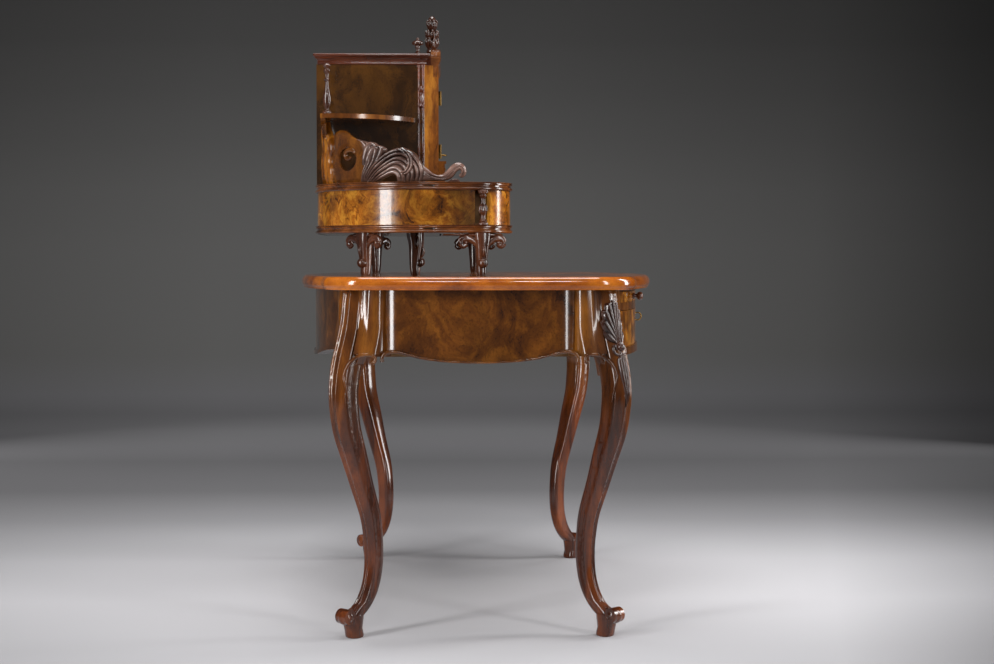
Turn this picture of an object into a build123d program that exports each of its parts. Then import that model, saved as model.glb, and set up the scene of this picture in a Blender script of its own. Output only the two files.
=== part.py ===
from build123d import *
import os
from math import cos, sin, sqrt

os.makedirs("parts", exist_ok=True)

# Dressing table, millimetres. Origin on the floor under the centre, +Z up, the front looks along -Y.

# ---- table ----
TABLE_HEIGHT = 760.0
TOP_THICK = 28.0
TOP_HALF_LENGTH = 570.0
TOP_HALF_DEPTH = 405.0
TOP_END_SAG = 8.0
TOP_END_HALF = TOP_HALF_DEPTH - 170.0
TOP_CORNER_CENTRE = (TOP_HALF_LENGTH - 113.0, TOP_HALF_DEPTH - 177.0)
TOP_CUSP = (TOP_HALF_LENGTH - 120.0, TOP_HALF_DEPTH - 72.5)
TOP_EDGE_BAND = 16.0
TOP_EDGE_ROUND = 11.0
TOP_EDGE_PROFILE = (
    (1.0, 0.0),
    (0.5, 0.06),
    (0.13, 0.2),
    (0.0, 0.38),
    (0.0, 0.6),
    (0.13, 0.8),
    (0.45, 0.94),
    (1.0, 1.0),
)

OVERHANG_END = 35.0
OVERHANG_FRONT = 31.0
CARCASS_HALF_LENGTH = TOP_HALF_LENGTH - OVERHANG_END
CARCASS_HALF_DEPTH = TOP_HALF_DEPTH - OVERHANG_FRONT
CARCASS_END_SAG = 6.0
CARCASS_END_CHORD = CARCASS_HALF_DEPTH - 171.0
CARCASS_BOW_SIDE = (CARCASS_HALF_LENGTH - 94.0, CARCASS_HALF_DEPTH - 82.0)
CARCASS_LOW = TABLE_HEIGHT - TOP_THICK
BOARD = 22.0
APRON_END_HALF = CARCASS_HALF_DEPTH - 124.0
APRON_BACK_HALF = CARCASS_HALF_LENGTH - 55.0
APRON_WAVE = ((0.62, -6.0), (0.4, 1.5))
APRON_END_LOW = 600.0
APRON_MID_LOW = 580.0
APRON_BEAD_HIGH = 8.0
APRON_BEAD_PROUD = 4.0
APRON_BACK_CUT = 200.0

# ---- cabriole legs: outward offset on the diagonal, height, width across, depth ----
LEG_FOOT = (CARCASS_HALF_LENGTH - 35.0, CARCASS_HALF_DEPTH - 112.0)
LEG_ROWS = (
    (-3.0, 732.0, 46.0, 46.0),
    (4.0, 680.0, 47.0, 50.0),
    (12.0, 630.0, 48.0, 56.0),
    (20.0, 598.0, 48.0, 60.0),
    (29.0, 563.0, 47.0, 61.0),
    (35.0, 519.0, 46.0, 60.0),
    (28.5, 454.0, 44.0, 58.0),
    (13.0, 404.0, 41.0, 55.0),
    (0.0, 369.0, 38.0, 52.0),
    (-11.5, 336.0, 35.0, 49.0),
    (-29.5, 288.0, 32.0, 45.5),
    (-44.5, 240.0, 29.0, 44.0),
    (-51.0, 184.0, 27.0, 42.0),
    (-48.0, 131.0, 26.0, 40.0),
    (-38.0, 98.0, 26.0, 37.0),
    (-22.0, 72.0, 27.0, 32.0),
    (-2.0, 54.0, 28.0, 27.0),
    (20.0, 47.0, 29.0, 24.0),
)
LEG_HOLLOW = 3.0
LEG_CHANNEL = 0.21
EAR_HALF = 63.0
EAR_DEEP = 24.0
EAR_TOP = ((63.0, -20.5), (56.0, -10.0), (45.0, -1.0), (33.0, 5.0), (18.0, 8.0))
EAR_BOTTOM = ((63.0, -18.5), (56.0, -4.0), (45.0, 8.0), (33.0, 18.0), (18.0, 26.0))
EAR_LOW = 552.0
EAR_UNDER = (
    (64.5, 583.0),
    (59.0, 583.0),
    (56.5, 596.0),
    (50.0, 600.5),
    (40.0, 600.0),
    (31.0, 594.0),
    (24.0, 578.0),
    (17.0, 551.0),
)
EAR_ARCH_INNER = -4.0
EAR_ARCH_HIGH = 594.0
TOE_SCROLL = (29.0, 47.0)
TOE_SCROLL_RADIUS = 16.0
TOE_SCROLL_WIDE = 31.0
PAD_OFFSET = 4.0
PAD_RADIUS = 15.5
PAD_MID_RADIUS = 17.5
PAD_TOP_RADIUS = 20.0
PAD_HIGH = 26.0
PAD_TOP = 48.0

# ---- carving on the front knees ----
CARVING_PROUD = 6.0
SHELL_SPREAD = 0.95
SHELL_REACH = 98.0
BOSS_HIGH = 613.0
BOSS_OUT = 49.0
BOSS_RADIUS = 11.0
KNEE_LEAF_HALF = (
    (12.0, 604.0),
    (21.0, 590.0),
    (22.0, 572.0),
    (16.0, 556.0),
    (17.0, 540.0),
    (10.0, 522.0),
    (8.0, 505.0),
)
KNEE_LEAF_TIP = 487.0

# ---- front rails, slide and desk drawer ----
RUN_GAP = 1.0
SEAT_GAP = 0.3
SLIDE_LOW = 702.5
SLIDE_THICK = 22.5
SLIDE_BACK = CARCASS_HALF_DEPTH - 139.0
SLIDE_FRONT = 74.0 - CARCASS_HALF_DEPTH
SLIDE_LIP_DEEP = 28.0
SLIDE_JOINT = 2.0
SLIDE_LEATHER_THICK = 1.5
SLIDE_LEATHER_BORDER = 40.0
RAIL_UPPER_LOW = 685.0
RAIL_UPPER_HIGH = SLIDE_LOW - SEAT_GAP
DRAWER_LOW = 605.0
RAIL_LOWER_LOW = 588.0
RAIL_LOWER_HIGH = DRAWER_LOW - SEAT_GAP
RAIL_DEEP = 60.0
RAIL_HALF = LEG_FOOT[0] - 54.0
SLIDE_HALF = RAIL_HALF - 26.0
DRAWER_HALF = RAIL_HALF - 58.0
RUNNER_INNER = DRAWER_HALF + 4.0
RUNNER_OUTER = RAIL_HALF - 12.0
RUNNER_BACK = CARCASS_HALF_DEPTH - 83.0
RUNNER_UNDER = 30.0
KNOB_AT = 250.0
KNOB_DOWEL = 4.0
KNOB_DOWEL_LONG = 18.0
CORNER_RUN_GAP = 1.5
DRAWER_HIGH = 684.0
DRAWER_FRONT_DEEP = 22.0
DRAWER_BACK = CARCASS_HALF_DEPTH - 119.0
DRAWER_SIDE_THICK = 12.0
DRAWER_BOTTOM_THICK = 7.0
DRAWER_BOTTOM_UP = 6.0
KEY_HIGH = 660.0
KEY_FIT = 0.05
KEY_SHAFT_RADIUS = 2.2
KEY_BOW_RADIUS = 9.0
KEY_BOW_WIRE = 1.5
KEY_REACH = 3.0
LOCK_HALF = 26.0
LOCK_DEEP = 12.0
LOCK_WALL = 2.0
LOCK_LOW = -23.0
LOCK_HIGH = 19.0
LOCK_LET_IN = 1.0
LOCK_MOUTH = 5.0
ESCUTCHEON_RADIUS = 8.5
ESCUTCHEON_PROUD = 1.2
ESCUTCHEON_THICK = 2.0
BOLT_HALF = 11.0
BOLT_THICK = 3.0
BOLT_AT = 6.5
BOLT_LOW = 4.5
BOLT_GAP = 0.4
BOLT_THROW = 10.0
BOLT_SLOT_GAP = 1.2

# ---- drawer case on the table top ----
STAND_HIGH = 93.0
CASE_LOW = TABLE_HEIGHT + STAND_HIGH
CASE_HIGH = 962.0
CASE_BOARD = 17.0
CASE_BACK = 361.0
CASE_CORNER_RADIUS = 262.0
CASE_HALF_LENGTH = 420.0
CASE_END_FRONT = (CASE_HALF_LENGTH - 24.0, 8.0)
CASE_END_HOLLOW = (CASE_HALF_LENGTH - 14.5, 56.0)
LOBE_OUTER = (CASE_HALF_LENGTH - 28.0, -24.0)
LOBE_MID = (CASE_HALF_LENGTH - 120.0, -71.0)
LOBE_INNER = (CASE_HALF_LENGTH - 212.0, -24.0)
RECESS = (190.0, 80.0)
CASE_WALL = 16.0
CASE_MOULDING_PROUD = 6.0
COLUMN_AT = (CASE_HALF_LENGTH - 21.0, -9.0)
COLUMN_RADIUS = 11.0
TRAY_WALL = 8.0
TRAY_FLOOR = 5.0
SIDE_TRAY = (RECESS[0] + 21.0, CASE_HALF_LENGTH - 47.0)
SIDE_TRAY_BACK = 205.0
SIDE_FRONT_BACK = -22.0
CENTRE_TRAY_HALF = RECESS[0] - 18.0
CENTRE_TRAY_BACK = 300.0
CENTRE_FRONT_DEEP = 16.0

# ---- small stand legs ----
STAND_ROWS = (
    (-2.0, 93.0, 30.0, 20.0),
    (3.0, 78.0, 28.0, 20.0),
    (4.0, 62.0, 22.0, 17.0),
    (-3.0, 42.0, 16.0, 13.0),
    (-7.0, 24.0, 13.0, 11.0),
    (-2.0, 12.0, 13.0, 10.0),
    (7.0, 8.0, 14.0, 9.0),
)
STAND_TOE_RADIUS = 8.0
STAND_TOE_OUT = 9.0
STAND_EAR_RADIUS = 10.0
STAND_EAR_OUT = 21.0
STAND_BACK_AT = (CASE_HALF_LENGTH - 68.0, CASE_BACK - 115.0)
STAND_COLUMN_AT = (CASE_HALF_LENGTH - 40.0, -6.0)
STAND_RECESS_AT = (170.0, 140.0)

# ---- cabinet ----
CAB_HALF = 200.0
CAB_BACK = CASE_BACK - 1.0
CAB_SIDE_FRONT = 133.0
CAB_WALL = 16.0
CAB_HIGH = 1232.6
PILASTER_INNER = CAB_HALF - 35.0
PILASTER_FRONT = 86.0
PILASTER_CANT = (CAB_HALF - 28.0, CAB_HALF - 4.0, 122.0)
PLINTH_PROUD = 14.0
PLINTH_HIGH = 56.0
PLINTH_CAP = 6.0
PLINTH_CAP_PROUD = 3.0
HALF_COLUMN_RADIUS = 5.0
SHELF_LOW = 1098.0
SHELF_THICK = 10.0
DOOR_HALF = PILASTER_INNER - 2.5
DOOR_FRONT = PILASTER_FRONT + 2.0
DOOR_THICK = 20.0
DOOR_LOW = CASE_HIGH + 2.0
PEDIMENT_LOW = CAB_HIGH - 25.6
DOOR_HIGH = PEDIMENT_LOW - 1.0
DOOR_STILE = 34.0
DOOR_BEAD_THICK = 6.0
MIRROR_THICK = 9.0
MIRROR_FIT = 0.5
HINGE_PIN_RADIUS = 1.6
HINGE_FIT = 0.05
HINGE_KNUCKLE_RADIUS = 3.2
HINGE_KNUCKLE_HIGH = 16.0
HINGE_AT = (-DOOR_HALF - 1.5, PILASTER_FRONT - 3.4)
HINGE_LEVELS = (1040.0, 1160.0)
DOOR_KEY_AT = (DOOR_HALF - 21.5, 1048.0)
CORNICE_STEPS = (
    (CAB_HIGH, CAB_HIGH + 6.4, 4.0),
    (CAB_HIGH + 6.4, CAB_HIGH + 16.4, 9.0),
    (CAB_HIGH + 16.4, CAB_HIGH + 24.4, 13.0),
)
CORNICE_BACK_PROUD = 7.0
PEDIMENT_SIDE = CAB_HIGH + 7.4
PEDIMENT_MID = CAB_HIGH + 43.4
PEDIMENT_HALF = CAB_HALF - 24.0
PEDIMENT_FRONT = PILASTER_FRONT + 4.0
PEDIMENT_BACK = PEDIMENT_FRONT + 13.5
PEDIMENT_CAP = 10.0
PEDIMENT_CAP_PROUD = 9.0
PEDIMENT_FLARE_PROUD = 4.0
CREST_TOP = 1369.0
CREST_FRONT = PEDIMENT_FRONT
CREST_DEEP = 22.0
FINIAL_AT = (CAB_HALF - 14.0, 133.0)

# ---- side shelves and gallery ----
SIDE_SHELF_LOW = 1103.0
SIDE_SHELF_THICK = 10.0
SIDE_SHELF_OUT = 140.0
SIDE_SHELF_BACK = 344.0
SIDE_SHELF_DEEP = 205.0
WING_FRONT = 332.0
BALUSTER_AT = (CAB_HALF + 112.0, 330.0)
BALUSTER_TOP = 1225.0
GALLERY_INSET = 12.0
GALLERY_THICK = 12.0
LEAF_PROUD = 9.0
EYE = (288.0, 1016.0, 15.0)


# ---------- shared shapes ----------
def block(x0, x1, y0, y1, z0, z1):
    solid = Solid.make_box(x1 - x0, y1 - y0, z1 - z0)
    return Pos(x0, y0, z0) * solid


def prism(face, z0, z1):
    return Pos(0, 0, z0) * extrude(face, amount=z1 - z0, dir=(0, 0, 1))


def plan_face(edges):
    return Face(Wire(edges))


def polygon_prism(points, z0, z1):
    return prism(Face(Wire.make_polygon([Vector(*point) for point in points])), z0, z1)


def side_profile(points, x0, x1):
    # A closed outline drawn in Y and Z, run along X.
    outline = Wire.make_polygon([Vector(x0, y, z) for y, z in points])
    return extrude(Face(outline), amount=x1 - x0, dir=(1, 0, 0))


def front_profile(edges, y0, y1):
    # A closed outline drawn in X and Z at depth y0, run along Y.
    return extrude(Face(Wire(edges)), amount=y1 - y0, dir=(0, 1, 0))


def turned(points):
    # Radius and height pairs, turned about Z.
    outline = Wire.make_polygon([Vector(radius, 0, high) for radius, high in points])
    return revolve(Face(outline), axis=Axis.Z)


def flip_x(shape):
    return mirror(shape, about=Plane.YZ)


def flip_y(shape):
    return mirror(shape, about=Plane.XZ)


def save(shape, name):
    solids = shape.solids()
    kept = solids[0] if len(solids) == 1 else Compound(children=solids)
    export_step(kept, "parts/" + name + ".step")


# ---------- table top ----------
def corner_shift(first, second):
    # The move per unit of inset that keeps a corner on both of its inset arcs.
    cross = first[0] * second[1] - first[1] * second[0]
    return ((second[1] - first[1]) / cross, (first[0] - second[0]) / cross)


def top_wire(inset, high):
    # The eight arcs of the top's plan, drawn in from the edge by the inset.
    centre_x, centre_y = TOP_CORNER_CENTRE
    reach = TOP_CUSP[1] - centre_y
    slant = (centre_x + (reach - inset) / sqrt(2), centre_y + (reach - inset) / sqrt(2))
    end_x = TOP_HALF_LENGTH - TOP_END_SAG
    side = (end_x - inset, TOP_END_HALF)
    rise = TOP_HALF_DEPTH - TOP_CUSP[1]
    bow_radius = (TOP_CUSP[0] ** 2 + rise**2) / (2 * rise)
    bow_normal = (TOP_CUSP[0] / bow_radius, (bow_radius - rise) / bow_radius)
    lobe_length = sqrt((TOP_CUSP[0] - centre_x) ** 2 + reach**2)
    lobe_normal = ((TOP_CUSP[0] - centre_x) / lobe_length, reach / lobe_length)
    shift = corner_shift(lobe_normal, bow_normal)
    cusp = (TOP_CUSP[0] - inset * shift[0], TOP_CUSP[1] - inset * shift[1])

    def at(point, sign_x, sign_y):
        return Vector(sign_x * point[0], sign_y * point[1], high)

    end = (TOP_HALF_LENGTH - inset, 0)
    bow = (0, TOP_HALF_DEPTH - inset)
    arcs = []
    for start, middle, stop in (
        (at(side, 1, -1), at(end, 1, 1), at(side, 1, 1)),
        (at(side, 1, 1), at(slant, 1, 1), at(cusp, 1, 1)),
        (at(cusp, 1, 1), at(bow, 1, 1), at(cusp, -1, 1)),
        (at(cusp, -1, 1), at(slant, -1, 1), at(side, -1, 1)),
        (at(side, -1, 1), at(end, -1, 1), at(side, -1, -1)),
        (at(side, -1, -1), at(slant, -1, -1), at(cusp, -1, -1)),
        (at(cusp, -1, -1), at(bow, 1, -1), at(cusp, 1, -1)),
        (at(cusp, 1, -1), at(slant, 1, -1), at(side, 1, -1)),
    ):
        arcs.append(Edge.make_three_point_arc(start, middle, stop))
    return Wire(arcs)


def table_top():
    low = TABLE_HEIGHT - TOP_THICK
    panel = prism(Face(top_wire(TOP_EDGE_BAND, 0.0)), low, TABLE_HEIGHT)
    wires = [top_wire(TOP_EDGE_ROUND * inset, low + TOP_THICK * up) for inset, up in TOP_EDGE_PROFILE]
    slab = Solid.make_loft(wires, True)
    return panel, slab - panel


# ---------- cabriole legs ----------
def section_wire(centre, tangent, across, deep, hollow):
    # Closed section square to the run of the leg: a hollow channel on the outer corner between two
    # arrises, flanks falling back at 45 degrees, then straight sides to a rounded back.
    half_a = across / 2
    half_d = deep / 2
    channel = LEG_CHANNEL * across
    fall = half_a - channel
    half = (
        (0.0, half_d - hollow),
        (0.6 * channel, half_d - 0.8 * hollow),
        (channel, half_d),
        (channel + 0.5 * fall, half_d - 0.5 * fall),
        (half_a, half_d - fall - 1.5),
        (half_a, 0.2 * half_d - 0.5 * fall),
        (half_a, -0.55 * half_d),
        (0.84 * half_a, -0.87 * half_d),
        (0.45 * half_a, -0.98 * half_d),
        (0.0, -half_d),
    )
    loop = list(half) + [(-side, out) for side, out in reversed(half[1:-1])]
    normal_u = -tangent[1]
    normal_z = tangent[0]
    points = []
    for side, out in loop:
        points.append(Vector(centre[0] + out * normal_u, side, centre[1] + out * normal_z))
    return Wire([Edge.make_spline(points, periodic=True)])


def cabriole(rows, hollow):
    wires = []
    last = len(rows) - 1
    for index, (out, high, across, deep) in enumerate(rows):
        before = rows[max(index - 1, 0)]
        after = rows[min(index + 1, last)]
        run_u = after[0] - before[0]
        run_z = after[1] - before[1]
        if index == 0:
            run_u = 0.0
        length = sqrt(run_u**2 + run_z**2)
        wires.append(section_wire((out, high), (run_u / length, run_z / length), across, deep, hollow))
    return Solid.make_loft(wires)


def cross_cylinder(centre, radius, wide):
    # A scroll lying across the diagonal.
    plane = Plane(origin=(centre[0], -wide / 2, centre[1]), z_dir=(0, 1, 0), x_dir=(1, 0, 0))
    return Solid.make_cylinder(radius, wide, plane)


def ear_wire(points, high):
    right = [Vector(out, side, high) for side, out in points]
    left = [Vector(out, -side, high) for side, out in reversed(points)]
    back = EAR_TOP[0][1] - EAR_DEEP
    back_left = Vector(back, -EAR_HALF, high)
    back_right = Vector(back, EAR_HALF, high)
    edges = [Edge.make_spline(right), Edge.make_line(right[-1], left[0]), Edge.make_spline(left)]
    edges += [Edge.make_line(left[-1], back_left), Edge.make_line(back_left, back_right)]
    return Wire(edges + [Edge.make_line(back_right, right[0])])


def leg_in_place():
    shaft = cabriole(LEG_ROWS, LEG_HOLLOW)
    ear = Solid.make_loft([ear_wire(EAR_TOP, CARCASS_LOW), ear_wire(EAR_BOTTOM, EAR_LOW)], True)
    back = EAR_TOP[0][1] - EAR_DEEP - 1
    for sign in (-1, 1):
        under = [Vector(back, sign * side, high) for side, high in EAR_UNDER]
        floor_points = [Vector(back, 0, EAR_LOW - 1), Vector(back, sign * (EAR_HALF + 1.5), EAR_LOW - 1)]
        under = [floor_points[1]] + under + [floor_points[0]]
        ear = ear - extrude(Face(Wire.make_polygon(under)), amount=2 * EAR_HALF, dir=(1, 0, 0))
    ear = ear - block(back, EAR_ARCH_INNER, -EAR_HALF, EAR_HALF, EAR_LOW - 1, EAR_ARCH_HIGH)
    toe = cross_cylinder(TOE_SCROLL, TOE_SCROLL_RADIUS, TOE_SCROLL_WIDE)
    pad = Pos(PAD_OFFSET, 0, 0) * Solid.make_cone(PAD_RADIUS, PAD_MID_RADIUS, PAD_HIGH)
    heel = Pos(PAD_OFFSET, 0, PAD_HIGH) * Solid.make_cone(PAD_MID_RADIUS, PAD_TOP_RADIUS, PAD_TOP - PAD_HIGH)
    leg = shaft + ear + toe + pad + heel
    corner_plane = Plane(origin=(LEG_FOOT[0], LEG_FOOT[1], 0), x_dir=(1, 1, 0), z_dir=(0, 0, 1))
    return corner_plane.location * leg


# ---------- carcass ----------
def bow_edge(half, inset):
    side_y = CARCASS_BOW_SIDE[1] - inset
    mid_y = CARCASS_HALF_DEPTH - inset
    half_chord = CARCASS_BOW_SIDE[0]
    rise = mid_y - side_y
    radius = (half_chord**2 + rise**2) / (2 * rise)
    edge_y = mid_y - radius + sqrt(radius**2 - half**2)
    return edge_y, mid_y


def bow_band(half, outer_inset, inner_inset, z0, z1):
    # A board bent to the bow of the back; flipped for the front.
    outer_y, outer_mid = bow_edge(half, outer_inset)
    inner_y, inner_mid = bow_edge(half, inner_inset)
    edges = [ThreePointArc((half, outer_y), (0, outer_mid), (-half, outer_y))]
    edges.append(Line((-half, outer_y), (-half, inner_y)))
    edges.append(ThreePointArc((-half, inner_y), (0, inner_mid), (half, inner_y)))
    edges.append(Line((half, inner_y), (half, outer_y)))
    return prism(plan_face(edges), z0, z1)


def bow_fill(half, back_y, z0, z1):
    # From the bow of the front straight back to a flat face, flipped to the front.
    outer_y, outer_mid = bow_edge(half, 0.0)
    edges = [ThreePointArc((half, outer_y), (0, outer_mid), (-half, outer_y))]
    edges.append(Line((-half, outer_y), (-half, back_y)))
    edges.append(Line((-half, back_y), (half, back_y)))
    edges.append(Line((half, back_y), (half, outer_y)))
    return prism(plan_face(edges), z0, z1)


def corner_cuts(grow):
    # Where the leg blocks stand in plan, bounded by the 45 degree joint faces.
    inner = EAR_TOP[0][1] - EAR_DEEP - grow
    outer = 200.0
    side = EAR_HALF + grow
    points = []
    for out, across in ((inner, -side), (outer, -side), (outer, side), (inner, side)):
        points.append((LEG_FOOT[0] + (out - across) / sqrt(2), LEG_FOOT[1] + (out + across) / sqrt(2)))
    wedge = polygon_prism(points, 0, TABLE_HEIGHT)
    return [wedge, flip_x(wedge), flip_y(wedge), flip_x(flip_y(wedge))]


def clear_corners(shape, grow):
    for wedge in corner_cuts(grow):
        shape = shape - wedge
    return shape


def low_edge_points(half, ends, middle, lift):
    (outer_share, outer_rise), (inner_share, inner_rise) = APRON_WAVE
    right = [
        (inner_share * half, middle + lift + inner_rise),
        (outer_share * half, ends + lift + outer_rise),
        (half, ends + lift),
    ]
    left = [(-side, high) for side, high in reversed(right)]
    return left + [(0, middle + lift)] + right


def end_apron():
    top = CARCASS_LOW
    half = APRON_END_HALF
    radius = (CARCASS_END_CHORD**2 + CARCASS_END_SAG**2) / (2 * CARCASS_END_SAG)
    bodies = []
    for proud, back in ((0.0, BOARD), (APRON_BEAD_PROUD, BOARD)):
        mid_x = CARCASS_HALF_LENGTH + proud
        edge_x = mid_x - radius + sqrt(radius**2 - half**2)
        back_x = CARCASS_HALF_LENGTH - back
        edges = [ThreePointArc((edge_x, -half), (mid_x, 0), (edge_x, half))]
        edges.append(Line((edge_x, half), (back_x, half)))
        edges.append(Line((back_x, half), (back_x, -half)))
        edges.append(Line((back_x, -half), (edge_x, -half)))
        bodies.append(prism(plan_face(edges), APRON_MID_LOW - 20, top))
    start_x = CARCASS_HALF_LENGTH - BOARD - 5

    def above(lift):
        curve = [Vector(start_x, y, z) for y, z in low_edge_points(half, APRON_END_LOW, APRON_MID_LOW, lift)]
        spline = Edge.make_spline(curve)
        high_left = Vector(start_x, half, top + 5)
        high_right = Vector(start_x, -half, top + 5)
        edges = [spline, Edge.make_line(curve[-1], high_left), Edge.make_line(high_left, high_right)]
        edges.append(Edge.make_line(high_right, curve[0]))
        return extrude(Face(Wire(edges)), amount=60, dir=(1, 0, 0))

    plate = bodies[0] & above(0.0)
    bead = (bodies[1] & above(0.0)) - above(APRON_BEAD_HIGH)
    apron = plate + bead
    return clear_corners(apron, 0.0)


def back_apron():
    top = CARCASS_LOW
    half = APRON_BACK_HALF
    plate = bow_band(half, 0.0, BOARD, APRON_MID_LOW - 20, top)
    proud = bow_band(half, -APRON_BEAD_PROUD, BOARD, APRON_MID_LOW - 20, top)

    start_y = CARCASS_HALF_DEPTH + 2 * APRON_BEAD_PROUD - APRON_BACK_CUT

    def above(lift):
        curve = [Vector(x, start_y, z) for x, z in low_edge_points(half, APRON_END_LOW, APRON_MID_LOW, lift)]
        high_right = Vector(half, start_y, top + 5)
        high_left = Vector(-half, start_y, top + 5)
        edges = [Edge.make_spline(curve), Edge.make_line(curve[-1], high_right)]
        edges += [Edge.make_line(high_right, high_left), Edge.make_line(high_left, curve[0])]
        return extrude(Face(Wire(edges)), amount=APRON_BACK_CUT, dir=(0, 1, 0))

    apron = (plate & above(0.0)) + ((proud & above(0.0)) - above(APRON_BEAD_HIGH))
    return clear_corners(apron, 0.0)


def front_rails(bolt_slot):
    top = CARCASS_LOW
    half = RAIL_HALF
    upper = flip_y(bow_band(half, 0.0, RAIL_DEEP, RAIL_UPPER_LOW, RAIL_UPPER_HIGH)) - bolt_slot
    strip_low = SLIDE_LOW + SLIDE_THICK + RUN_GAP
    strip = flip_y(bow_band(half, 0.0, RAIL_DEEP, strip_low, top))
    lower = flip_y(bow_band(half, -APRON_BEAD_PROUD, RAIL_DEEP, RAIL_LOWER_LOW, RAIL_LOWER_HIGH))
    return [clear_corners(rail, 0.0) for rail in (upper, strip, lower)]


def runners(solids_met):
    # Side rails on which the slide runs, which also hold the drawer down, and the drawer's own runners.
    pieces = []
    for low, high in ((RAIL_UPPER_LOW, RAIL_UPPER_HIGH), (RAIL_LOWER_LOW, RAIL_LOWER_HIGH)):
        inner = RUNNER_INNER if low == RAIL_UPPER_LOW else DRAWER_HALF - RUNNER_UNDER
        bar = block(inner, RUNNER_OUTER, -RUNNER_BACK, RUNNER_BACK, low, high)
        for solid in solids_met:
            bar = bar - solid
        pieces.append(bar)
    return pieces


# ---------- writing slide ----------
def slide_board():
    high = SLIDE_LOW + SLIDE_THICK
    lip_back = -SLIDE_FRONT - SLIDE_LIP_DEEP
    lip = clear_corners(flip_y(bow_fill(RAIL_HALF, lip_back, SLIDE_LOW, high)), CORNER_RUN_GAP)
    board = lip + block(-SLIDE_HALF, SLIDE_HALF, -lip_back - SLIDE_JOINT, SLIDE_BACK, SLIDE_LOW, high)
    border = SLIDE_LEATHER_BORDER
    half = SLIDE_HALF - border
    front = SLIDE_FRONT + border
    recess = block(-half, half, front, SLIDE_BACK - border, high - SLIDE_LEATHER_THICK, high)
    for x in (-KNOB_AT, KNOB_AT):
        board = board - knob_bore(x)
    return board - recess, recess


def knob_bore(x):
    front = -bow_edge(x, 0.0)[0]
    plane = Plane(origin=(x, front - 5, SLIDE_LOW + SLIDE_THICK / 2), z_dir=(0, 1, 0), x_dir=(1, 0, 0))
    return Solid.make_cylinder(KNOB_DOWEL, 25, plane)


def slide_knob(x):
    dowel = ((0, -KNOB_DOWEL_LONG), (KNOB_DOWEL, -KNOB_DOWEL_LONG), (KNOB_DOWEL, 1))
    neck = ((6.5, 1), (6.5, 4), (4.5, 6), (5.0, 9))
    head = ((8.5, 12), (9.5, 16), (8.5, 20), (5.0, 22.5), (0, 23))
    knob = turned(dowel + neck + head)
    front = -bow_edge(x, 0.0)[0]
    plane = Plane(origin=(x, front, SLIDE_LOW + SLIDE_THICK / 2), z_dir=(0, -1, 0), x_dir=(1, 0, 0))
    return plane.location * knob


# ---------- desk drawer ----------
def key_bore(y0, y1, fit):
    return Solid.make_cylinder(KEY_SHAFT_RADIUS + fit, y1 - y0, Plane(origin=(0, y0, 0), z_dir=(0, 1, 0)))


def lock_case():
    # Steel box round the key's bit and the bolt. Wood side at y = 0, the bolt leaves through the top.
    shell = block(-LOCK_HALF, LOCK_HALF, 0, LOCK_DEEP, LOCK_LOW, LOCK_HIGH)
    inner = LOCK_HALF - LOCK_WALL
    back = LOCK_DEEP - LOCK_WALL
    shell = shell - block(-inner, inner, LOCK_WALL, back, LOCK_LOW + LOCK_WALL, LOCK_HIGH - LOCK_WALL)
    mouth = BOLT_HALF + BOLT_GAP
    near = BOLT_AT - BOLT_GAP
    far = BOLT_AT + BOLT_THICK + BOLT_GAP
    shell = shell - block(-mouth, mouth, near, far, LOCK_HIGH - LOCK_MOUTH, LOCK_HIGH + 1)
    return shell - key_bore(-1, LOCK_WALL + 1, KEY_FIT)


def lock_bolt():
    return block(-BOLT_HALF, BOLT_HALF, BOLT_AT, BOLT_AT + BOLT_THICK, BOLT_LOW, LOCK_HIGH)


def lock_key(wood_thick):
    # Round shaft with a ring bow outside the wood and a flat bit within the lock.
    outside = -wood_thick - KEY_REACH
    shaft = key_bore(outside, LOCK_DEEP - LOCK_WALL - 0.5, 0.0)
    centre = (0, outside - KEY_BOW_RADIUS, 0)
    ring = Solid.make_torus(KEY_BOW_RADIUS, KEY_BOW_WIRE, Plane(origin=centre, z_dir=(1, 0, 0)))
    collar = Solid.make_cylinder(KEY_SHAFT_RADIUS + 1, 1.5, Plane(origin=(0, outside, 0), z_dir=(0, 1, 0)))
    bit = block(-1, 1, LOCK_WALL + 1, LOCK_WALL + 3.5, -7.5, 0)
    return shaft + ring + collar + bit


def escutcheon(wood_thick):
    face = -wood_thick
    plane = Plane(origin=(0, face - ESCUTCHEON_PROUD, 0), z_dir=(0, 1, 0))
    disc = Solid.make_cylinder(ESCUTCHEON_RADIUS, ESCUTCHEON_THICK, plane)
    return disc - key_bore(face - ESCUTCHEON_THICK, face + ESCUTCHEON_THICK, KEY_FIT)


def desk_drawer():
    depth_front = flip_y(bow_band(RAIL_HALF, 0.0, DRAWER_FRONT_DEEP, DRAWER_LOW, DRAWER_HIGH))
    front = clear_corners(depth_front, CORNER_RUN_GAP)
    low = DRAWER_LOW
    high = DRAWER_HIGH - 6
    inner = DRAWER_HALF - DRAWER_SIDE_THICK
    side = block(inner, DRAWER_HALF, -RUNNER_BACK - 20, DRAWER_BACK, low, high) - front
    back = block(-inner, inner, DRAWER_BACK - DRAWER_SIDE_THICK, DRAWER_BACK, low, high - 8)
    floor_low = low + DRAWER_BOTTOM_UP
    bottom = block(-inner, inner, -CARCASS_HALF_DEPTH + 12, DRAWER_BACK - DRAWER_SIDE_THICK,
                   floor_low, floor_low + DRAWER_BOTTOM_THICK)
    bottom = bottom & flip_y(bow_fill(inner, -DRAWER_BACK, floor_low, floor_low + DRAWER_BOTTOM_THICK))
    bottom = bottom - front
    return front, side, back, bottom


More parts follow.
